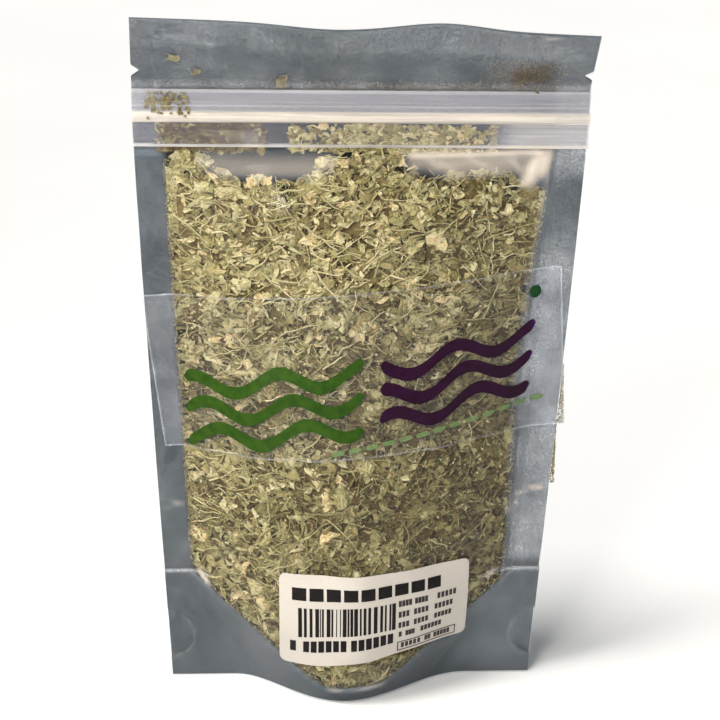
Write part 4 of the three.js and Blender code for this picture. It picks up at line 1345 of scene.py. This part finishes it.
SEAL_BITS = 1800
left_side = stray_draw.uniform(0, 1, SEAL_BITS) < 0.62
h = stray_draw.uniform(37, 163, SEAL_BITS)
from_edge = stray_draw.exponential(0.55, SEAL_BITS)
s = np.where(left_side, from_edge - SEAL_LINE, right_edge(h) - from_edge)
grit = crumb_points(stray_draw, SEAL_BITS, 0.12, 0.4)
tone = np.clip(stray_draw.normal(0.3, 0.16, SEAL_BITS), 0.05, 0.7)
bits_piece("stray_dust_seals", pressed(grit, s, h, 0.36, 0.4), OCTAHEDRON_FACES, tone)

# %% [markdown]
# ## Clear labels
# A clear polypropylene sticker goes right across the front, so the print seems to float on the leaf.
# Its ends run a little over the side seals. A second one, plain, goes across the back. Each is a thin
# sheet laid on its film at the height of the glue, hazier at its cut edges, where the bright lines are
# partly painted highlights, and milkier over the side seals, partly as a painted reflection. Where an
# end reaches past the pouch its glue is bare, and leaf dust sticks to it.

# %% Clear labels
clear_sticker = clear_film(
    "clear_polypropylene_sticker", haze=0.004, sealed_haze=0.04, gloss_roughness=0.1)
BACK_LABEL = {"bottom": [(-58, 60), (66.6, 63)], "top": [(-61, 108), (63, 111)]}
LABEL = 0.1            # thickness of a label
GLUE = 0.08            # room between the film and a label
LABEL_OUT = FILM / 2 + GLUE + LABEL / 2
LABEL_WIDE = 129
LABEL_HIGH = 47


def label_place(label, u, v):
    """Place on the flat film of a share u across and v up a label."""
    u, v = u[..., None], v[..., None]
    low, high = [np.array(label[edge][0]) * (1 - u) + np.array(label[edge][1]) * u
                 for edge in ("bottom", "top")]
    place = low * (1 - v) + high * v
    return place[..., 0], place[..., 1]


def label_piece(name, label, side, stands_for):
    """A clear label on a film, milky over the side seals, bright at cut edges: partly painted reflection
    and highlight.
    """
    across = steps((0, 0.01, 0.0025), (0.01, 0.99, 0.0085), (0.99, 1, 0.0025))
    up = steps((0, 0.02, 0.006), (0.02, 0.98, 0.024), (0.98, 1, 0.006))
    u, v = np.meshgrid(across, up)
    s, h = label_place(label, u, v)
    to_edge = np.minimum(np.minimum(u, 1 - u) * LABEL_WIDE, np.minimum(v, 1 - v) * LABEL_HIGH)
    # Milkier over the side seals, most over the right one, partly as a painted reflection; bright cut
    # edges partly as a painted highlight.
    seal = smooth(SEAL_LINE - 1, SEAL_LINE + 0.5, -s) + 1.3 * smooth(-1.5, 1.5, s - right_edge(h))
    sealed = 0.12 + 1.4 * seal + (3.0 + 3.0 * seal) * ridge(to_edge, 0.35)
    add_piece(name, laid_sheet(s, h, side, LABEL_OUT, LABEL), clear_sticker, "clear_label",
              stands_for=[stands_for], sealed=both_faces(sealed), bare=np.ones(2 * s.size))


label_piece("front_label_clear", FRONT_LABEL, -1, "front_label")
label_piece("back_label_clear", BACK_LABEL, 1, "back_label")

# %% Dust on the labels' bare glue
def overhang_dust(label, side, count):
    """Dust stuck to the glue where a label reaches past the film's right edge."""
    (s_low, h_low), (s_high, h_high) = label["bottom"][1], label["top"][1]
    share = (s_low - HALF) / (s_low - s_high) * stray_draw.uniform(0.01, 0.95, count)
    reach = s_low + (s_high - s_low) * share - HALF
    s = HALF + 0.1 + np.maximum(0.05, reach - 0.2) * stray_draw.uniform(0, 1, count)
    grit = crumb_points(stray_draw, count, 0.15, 0.45)
    h = h_low + (h_high - h_low) * share
    across, up = s[:, None] + grit[..., 0], h[:, None] + grit[..., 1]
    return lay(across, up, side, 0.05 + grit[..., 2] * 0.25)


overhangs = np.concatenate([overhang_dust(FRONT_LABEL, -1, 620), overhang_dust(BACK_LABEL, 1, 420)])
tone = np.clip(stray_draw.normal(0.3, 0.12, len(overhangs)), 0.05, 0.6)
bits_piece("stray_dust_labels", overhangs, OCTAHEDRON_FACES, tone)

# %% [markdown]
# ## Ink
# The print is a plain pattern: waves of green on the left and purple on the right, a row of pale green
# dashes below them and one dark green dot. A printed film has no other depth, so each shape is laid as
# its own thin raised sheet. Screen ink lies a little unevenly, which shows as soft patches of a
# thinner, paler tone. Over the silver of the right seal the purple is painted brighter, as a painted
# reflection of the silver behind it.

# %% Ink
INK_PATCH_MM = 2.5
SEAL_FROM = 50         # the silver begins to show between these places across
SEAL_FULL = 53


def ink_film(name, colour, thin, cover, painted_over_silver=None):
    """Ink from its thick to its thin tone, painted brighter over the right seal's silver as its
    reflection.
    """
    material, tree, output = new_material(name)
    place = node(tree, "ShaderNodeTexCoord").outputs["Object"]
    patch = node(tree, "ShaderNodeTexNoise", inputs={
        "Vector": place, "Scale": 1 / (INK_PATCH_MM * MM), "Detail": 4.0, "Roughness": 0.6})
    tone = node(tree, "ShaderNodeValToRGB", inputs={0: patch.outputs["Fac"]})
    set_stops(tone, [(0.35, colour), (0.7, thin)])
    # Over the right seal the ink is painted brighter: a painted reflection of the silver behind it.
    across = node(tree, "ShaderNodeSeparateXYZ", inputs={"Vector": place})
    on_seal = node(tree, "ShaderNodeMapRange", inputs={
        "Value": across.outputs["X"], "From Min": SEAL_FROM * MM, "From Max": SEAL_FULL * MM})
    base = node(tree, "ShaderNodeMix", {"data_type": "RGBA"}, {
        0: on_seal.outputs["Result"], 6: tone.outputs["Color"], 7: linear(painted_over_silver or colour)})
    ink = node(tree, "ShaderNodeBsdfPrincipled", inputs={
        "Base Color": base.outputs[2], "Roughness": 0.5, "IOR": 1.5, "Specular IOR Level": 0.12})
    through = node(tree, "ShaderNodeBsdfTransparent")
    opaque = node(tree, "ShaderNodeMapRange", inputs={
        "Value": patch.outputs["Fac"], "From Min": 0.3, "From Max": 0.7,
        "To Min": cover, "To Max": cover - 0.07})
    surface = node(tree, "ShaderNodeMixShader", inputs={
        0: opaque.outputs["Result"], 1: through.outputs[0], 2: ink.outputs[0]})
    tree.links.new(surface.outputs[0], output.inputs["Surface"])
    return material


green_ink = ink_film("green_screen_ink", "#1D3B06", "#314F0E", 0.98)
dot_ink = ink_film("dark_green_screen_ink", "#0F3519", "#1B4A28", 0.98)
purple_ink = ink_film("purple_screen_ink", "#1F0318", "#2A0829", 0.99, painted_over_silver="#360853")
lime_ink = ink_film("pale_green_screen_ink", "#6C8654", "#788F62", 0.55)
INK = 0.05
INK_OUT = LABEL_OUT + LABEL / 2 + 0.03 + INK / 2
say_made(green_ink, dot_ink, purple_ink, lime_ink)

# %% Waves
WAVE_LENGTH = 27.0
WAVE_HEIGHT = 2.6
WAVE_HALF = 1.9        # half-width of a wave's stripe
PHASE_SHIFT = 0.12     # radians that a wave runs on for each mm of rise


def stripe(s_from, s_to, centre, half_width, points=60):
    """A band of ink along the curve h = centre(s), with ends that taper round."""
    columns = np.linspace(s_from, s_to, points)
    ends = np.minimum(columns - s_from, s_to - columns)
    width = half_width * np.sqrt(np.maximum(0.02, 1 - clamp01(1 - ends / half_width) ** 2))
    across = np.linspace(-1, 1, 4)[:, None]
    s = np.broadcast_to(columns, (4, points))
    return laid_sheet(s, centre(columns) + across * width, -1, INK_OUT, INK)


def print_line(rise, wave, phase=0.0):
    """A wavy line that climbs to the right as the label does."""
    return lambda s: 95.4 + 0.16 * s + rise + wave * np.sin(2 * np.pi * s / WAVE_LENGTH + phase)


def waves(s_from, s_to, rises):
    """One wavy stripe for each rise in mm from the label's middle line."""
    lines = [print_line(rise, WAVE_HEIGHT, rise * PHASE_SHIFT) for rise in rises]
    return join([stripe(s_from, s_to, line, WAVE_HALF) for line in lines])


add_piece("label_waves_green", waves(-54.5, 1, (-6.5, 1.5, 9.5)), green_ink, "clear_label")
add_piece("label_waves_purple", waves(6, 55, (-7, 0.5, 8)), purple_ink, "clear_label")

# %% Dashes and dot
DASH = 4.2
DASH_PITCH = 5.4
dash_line = print_line(-13.5, 0)
dashes = [stripe(a, a + DASH, dash_line, 0.75, points=9) for a in np.arange(-9, 56, DASH_PITCH)]
add_piece("label_dashes_green", join(dashes), lime_ink, "clear_label")


def round_dot(s0, h0, radius):
    """A flat disc that follows the film, drawn as a fan of rings."""
    ring, turn = np.meshgrid(np.linspace(0.02, 1, 5), np.linspace(0, 2 * np.pi, 29))
    s = s0 + radius * ring * np.cos(turn)
    h = h0 + radius * ring * np.sin(turn)
    return laid_sheet(s.T[::-1], h.T[::-1], -1, INK_OUT, INK)


add_piece("label_dot_green", round_dot(54.0, 124.3, 1.9), dot_ink, "clear_label")

# %% [markdown]
# ## Barcode sticker
# A white thermal label from a scale printer: smooth coated paper with the print burnt in as black.
# The bars are drawn with random widths that stand for no number, and all lettering is left as rows
# of plain blocks: black for the title and under the bars, dark grey for the small lines beside them
# and in the thin frame at the lower right. Paper fibres are finer than half a millimetre, and are
# drawn that coarse so that they show.

# %% Thermal paper and print
FIBRE_MM = 0.5


def thermal_paper(name):
    """Coated white paper with a faint grain of fibres."""
    material, tree, output = new_material(name)
    place = node(tree, "ShaderNodeTexCoord").outputs["Object"]
    fibre = node(tree, "ShaderNodeTexNoise", inputs={
        "Vector": place, "Scale": 1 / (FIBRE_MM * MM), "Detail": 5.0, "Roughness": 0.7})
    tone = node(tree, "ShaderNodeValToRGB", inputs={0: fibre.outputs["Fac"]})
    set_stops(tone, [(0.3, "#B8B1A8"), (0.7, "#C2BBB2")])
    bump = node(tree, "ShaderNodeBump", inputs={
        "Strength": 0.15, "Distance": 0.05 * MM, "Height": fibre.outputs["Fac"]})
    paper = node(tree, "ShaderNodeBsdfPrincipled", inputs={
        "Base Color": tone.outputs["Color"], "Roughness": 0.55, "Normal": bump.outputs["Normal"]})
    tree.links.new(paper.outputs[0], output.inputs["Surface"])
    return material


white_paper = thermal_paper("thermal_paper_coated")
black_print = ink_film("black_thermal_print", "#100E0F", "#1E1B1B", 1.0)
grey_print = ink_film("grey_thermal_print", "#2F2B2B", "#413D3D", 1.0)
say_made(white_paper, black_print, grey_print)

# %% Sticker
STICKER_WIDE = 66.0
STICKER_HIGH = 30.0
STICKER_BOW = 1.9      # the bottom edge arches upwards by this much
CORNER = 2.3
PAPER_OUT = FILM / 2 + GLUE + LABEL / 2
PRINT = 0.03           # thickness of the print
PRINT_OUT = PAPER_OUT + LABEL / 2 + 0.04


def sticker_place(x, y):
    """Place on the flat film of a point x mm from the sticker's left and y mm up from its bottom."""
    u, v = np.asarray(x, float) / STICKER_WIDE, np.asarray(y, float) / STICKER_HIGH
    s, h = label_place(STICKER, u, v)
    return s, h + STICKER_BOW * 4 * u * (1 - u) * (1 - v)


def rounded_sheet():
    """The sticker: rows shorten near the top and bottom, which rounds its corners."""
    quarter = np.linspace(0, np.pi / 2, 7)
    low = CORNER * (1 - np.cos(quarter))
    straight = np.linspace(CORNER, STICKER_HIGH - CORNER, 20)[1:-1]
    y = np.concatenate([low, straight, STICKER_HIGH - low[::-1]])
    into = np.maximum(0, CORNER - np.minimum(y, STICKER_HIGH - y))
    short = CORNER - np.sqrt(CORNER ** 2 - into ** 2)
    u = np.linspace(0, 1, 50)
    x = short[:, None] + (STICKER_WIDE - 2 * short[:, None]) * u
    s, h = sticker_place(x, np.broadcast_to(y[:, None], x.shape))
    return laid_sheet(s, h, -1, PAPER_OUT, LABEL)


def printed_block(x0, y0, x1, y1):
    """A rectangle of print on the sticker."""
    columns = max(2, int((x1 - x0) / 1.2) + 2)
    rows = max(2, int((y1 - y0) / 1.5) + 2)
    x, y = np.meshgrid(np.linspace(x0, x1, columns), np.linspace(y0, y1, rows))
    s, h = sticker_place(x, y)
    return laid_sheet(s, h, -1, PRINT_OUT, PRINT)


add_piece("barcode_sticker_paper", rounded_sheet(), white_paper, "white_paper",
          stands_for=["barcode_sticker"])

# %% Bars and frame
bar_draw = np.random.default_rng(7)
BAR = 0.32             # width of the thinnest bar
BARS_LEFT = 6.3
BARS_RIGHT = 38.4
BARS_LOW = 10.1
BARS_HIGH = 19.6
bars = []
x = BARS_LEFT
while x < BARS_RIGHT:
    wide = BAR * bar_draw.integers(1, 5)
    bars.append(printed_block(x, BARS_LOW, x + wide, BARS_HIGH))
    x += wide + BAR * bar_draw.integers(1, 4)
# The frame at the lower right.
BOX_LEFT = 40.4
BOX_RIGHT = 62.0
BOX_LOW = 0.9
BOX_HIGH = 4.7
BOX_LINE = 0.35
for low in (BOX_LOW, BOX_HIGH - BOX_LINE):
    bars.append(printed_block(BOX_LEFT, low, BOX_RIGHT, low + BOX_LINE))
for left in (BOX_LEFT, BOX_RIGHT - BOX_LINE):
    bars.append(printed_block(left, BOX_LOW, left + BOX_LINE, BOX_HIGH))
add_piece("barcode_sticker_bars", join(bars), black_print, "white_paper")

# %% Rows of blocks
SMALL_SHARE = 0.78     # a block's share of its pitch
TITLE_SHARE = 0.82
SMALL_HIGH = 2.1
SMALL_PITCH = 1.35


def row_of_blocks(left, right, low, high, pitch, share=SMALL_SHARE):
    """Blocks as wide as letters, from left to right."""
    count = round((right - left) / pitch)
    starts = left + (right - left) / count * np.arange(count)
    return [printed_block(start, low, start + pitch * share, high) for start in starts]


title = row_of_blocks(4.3, 56.7, 22.0, 25.9, 5.82, TITLE_SHARE)
under_bars = []
for left, right in ((3.6, 6.1), (8.0, 23.2), (24.2, 39.4)):
    under_bars += row_of_blocks(left, right, 4.8, 8.7, 2.53)
add_piece("barcode_sticker_title_blocks", join(title + under_bars), black_print, "white_paper")

# Small lines right of the bars: low edge, then left and right end of each word.
SMALL_LINES = [
    (17.9, (40.6, 45.5, 46.4, 51.2, 54.5, 61.8)), (14.1, (40.6, 44.7, 46.1, 51.6, 53.6, 60.6)),
    (10.3, (40.6, 44.7, 46.1, 51.6, 53.6, 60.2)), (6.7, (40.8, 42.2, 43.2, 46.6, 48.7, 56.6)),
    (1.9, (41.8, 49.2, 50.4, 52.7, 53.8, 60.0)),
]
words = []
for low, ends in SMALL_LINES:
    for left, right in zip(ends[::2], ends[1::2]):
        words += row_of_blocks(left, right, low, low + SMALL_HIGH, SMALL_PITCH)
add_piece("barcode_sticker_small_blocks", join(words), grey_print, "white_paper")

# %% [markdown]
# ## Studio floor and light
# A plain pale floor and soft light from the upper left, as from a window, with a weaker pale fill
# all round. Silver film shows only what it mirrors, so the light is kept broad and smooth.

# %% Floor
FLOOR_CLOUD = 1 / 3    # soft patches a third of a metre wide
FLOOR_RADIUS = 20.0    # metres, so that its edge never shows
FLOOR_SIDES = 48


def pale_floor():
    """Matt pale board with faint broad patches."""
    material, tree, output = new_material("pale_studio_floor")
    place = node(tree, "ShaderNodeTexCoord").outputs["Object"]
    cloud = node(tree, "ShaderNodeTexNoise", inputs={
        "Vector": place, "Scale": 1 / FLOOR_CLOUD, "Detail": 3.0})
    tone = node(tree, "ShaderNodeValToRGB", inputs={0: cloud.outputs["Fac"]})
    set_stops(tone, [(0.3, "#F1F2F3"), (0.7, "#F6F7F8")])
    matt = node(tree, "ShaderNodeBsdfPrincipled", inputs={
        "Base Color": tone.outputs["Color"], "Roughness": 0.9, "Specular IOR Level": 0.0})
    tree.links.new(matt.outputs[0], output.inputs["Surface"])
    return material


floor_mesh = bpy.data.meshes.new("studio_floor")
turns = np.linspace(0, 2 * np.pi, FLOOR_SIDES + 1)[:-1]
corners = [(FLOOR_RADIUS * math.cos(a), FLOOR_RADIUS * math.sin(a), 0) for a in turns]
floor_mesh.from_pydata(corners, [], [list(range(FLOOR_SIDES))])
floor_mesh.materials.append(pale_floor())
studio_floor = bpy.data.objects.new("studio_floor", floor_mesh)
bpy.context.scene.collection.objects.link(studio_floor)
print("floor", 2 * FLOOR_RADIUS, "m wide")

# %% Light
SUN_DIRECTION = Vector((0.5, 0.2, -0.843))
WINDOW_PLACE = Vector((-0.22, -0.40, 0.34))
WINDOW_AIM = Vector((0, 0, 0.135))
WINDOW_SIDE = 0.25


def hang_lamp(lamp, place, direction):
    """Puts a lamp at a place in metres, shining in a direction."""
    holder = bpy.data.objects.new(lamp.name, lamp)
    holder.location = place
    holder.rotation_euler = direction.to_track_quat("-Z", "Y").to_euler()
    bpy.context.scene.collection.objects.link(holder)


daylight = bpy.data.lights.new("daylight", "SUN")
daylight.energy = 3.1
daylight.angle = math.radians(24)
daylight.color = linear("#FFFBF4")[:3]
hang_lamp(daylight, (0, 0, 0), SUN_DIRECTION)

window = bpy.data.lights.new("window_light", "AREA")
window.shape = "RECTANGLE"
window.size = WINDOW_SIDE
window.size_y = WINDOW_SIDE
window.energy = 0.33
window.spread = math.radians(50)
window.color = linear("#FFFAF2")[:3]
hang_lamp(window, WINDOW_PLACE, WINDOW_AIM - WINDOW_PLACE)

world = bpy.data.worlds.new("studio_air")
world.use_nodes = True
air = world.node_tree
air.nodes.clear()
background = node(air, "ShaderNodeBackground", inputs={"Color": linear("#F4F6F8"), "Strength": 0.3})
air.links.new(background.outputs[0], air.nodes.new("ShaderNodeOutputWorld").inputs["Surface"])
bpy.context.scene.world = world
bpy.context.scene.view_settings.view_transform = "Standard"
# Light may have to pass two skins of film, two of label and two of ink on its way in and out.
bpy.context.scene.cycles.transparent_max_bounces = 24
print("lamps:", [lamp.name for lamp in bpy.data.lights])
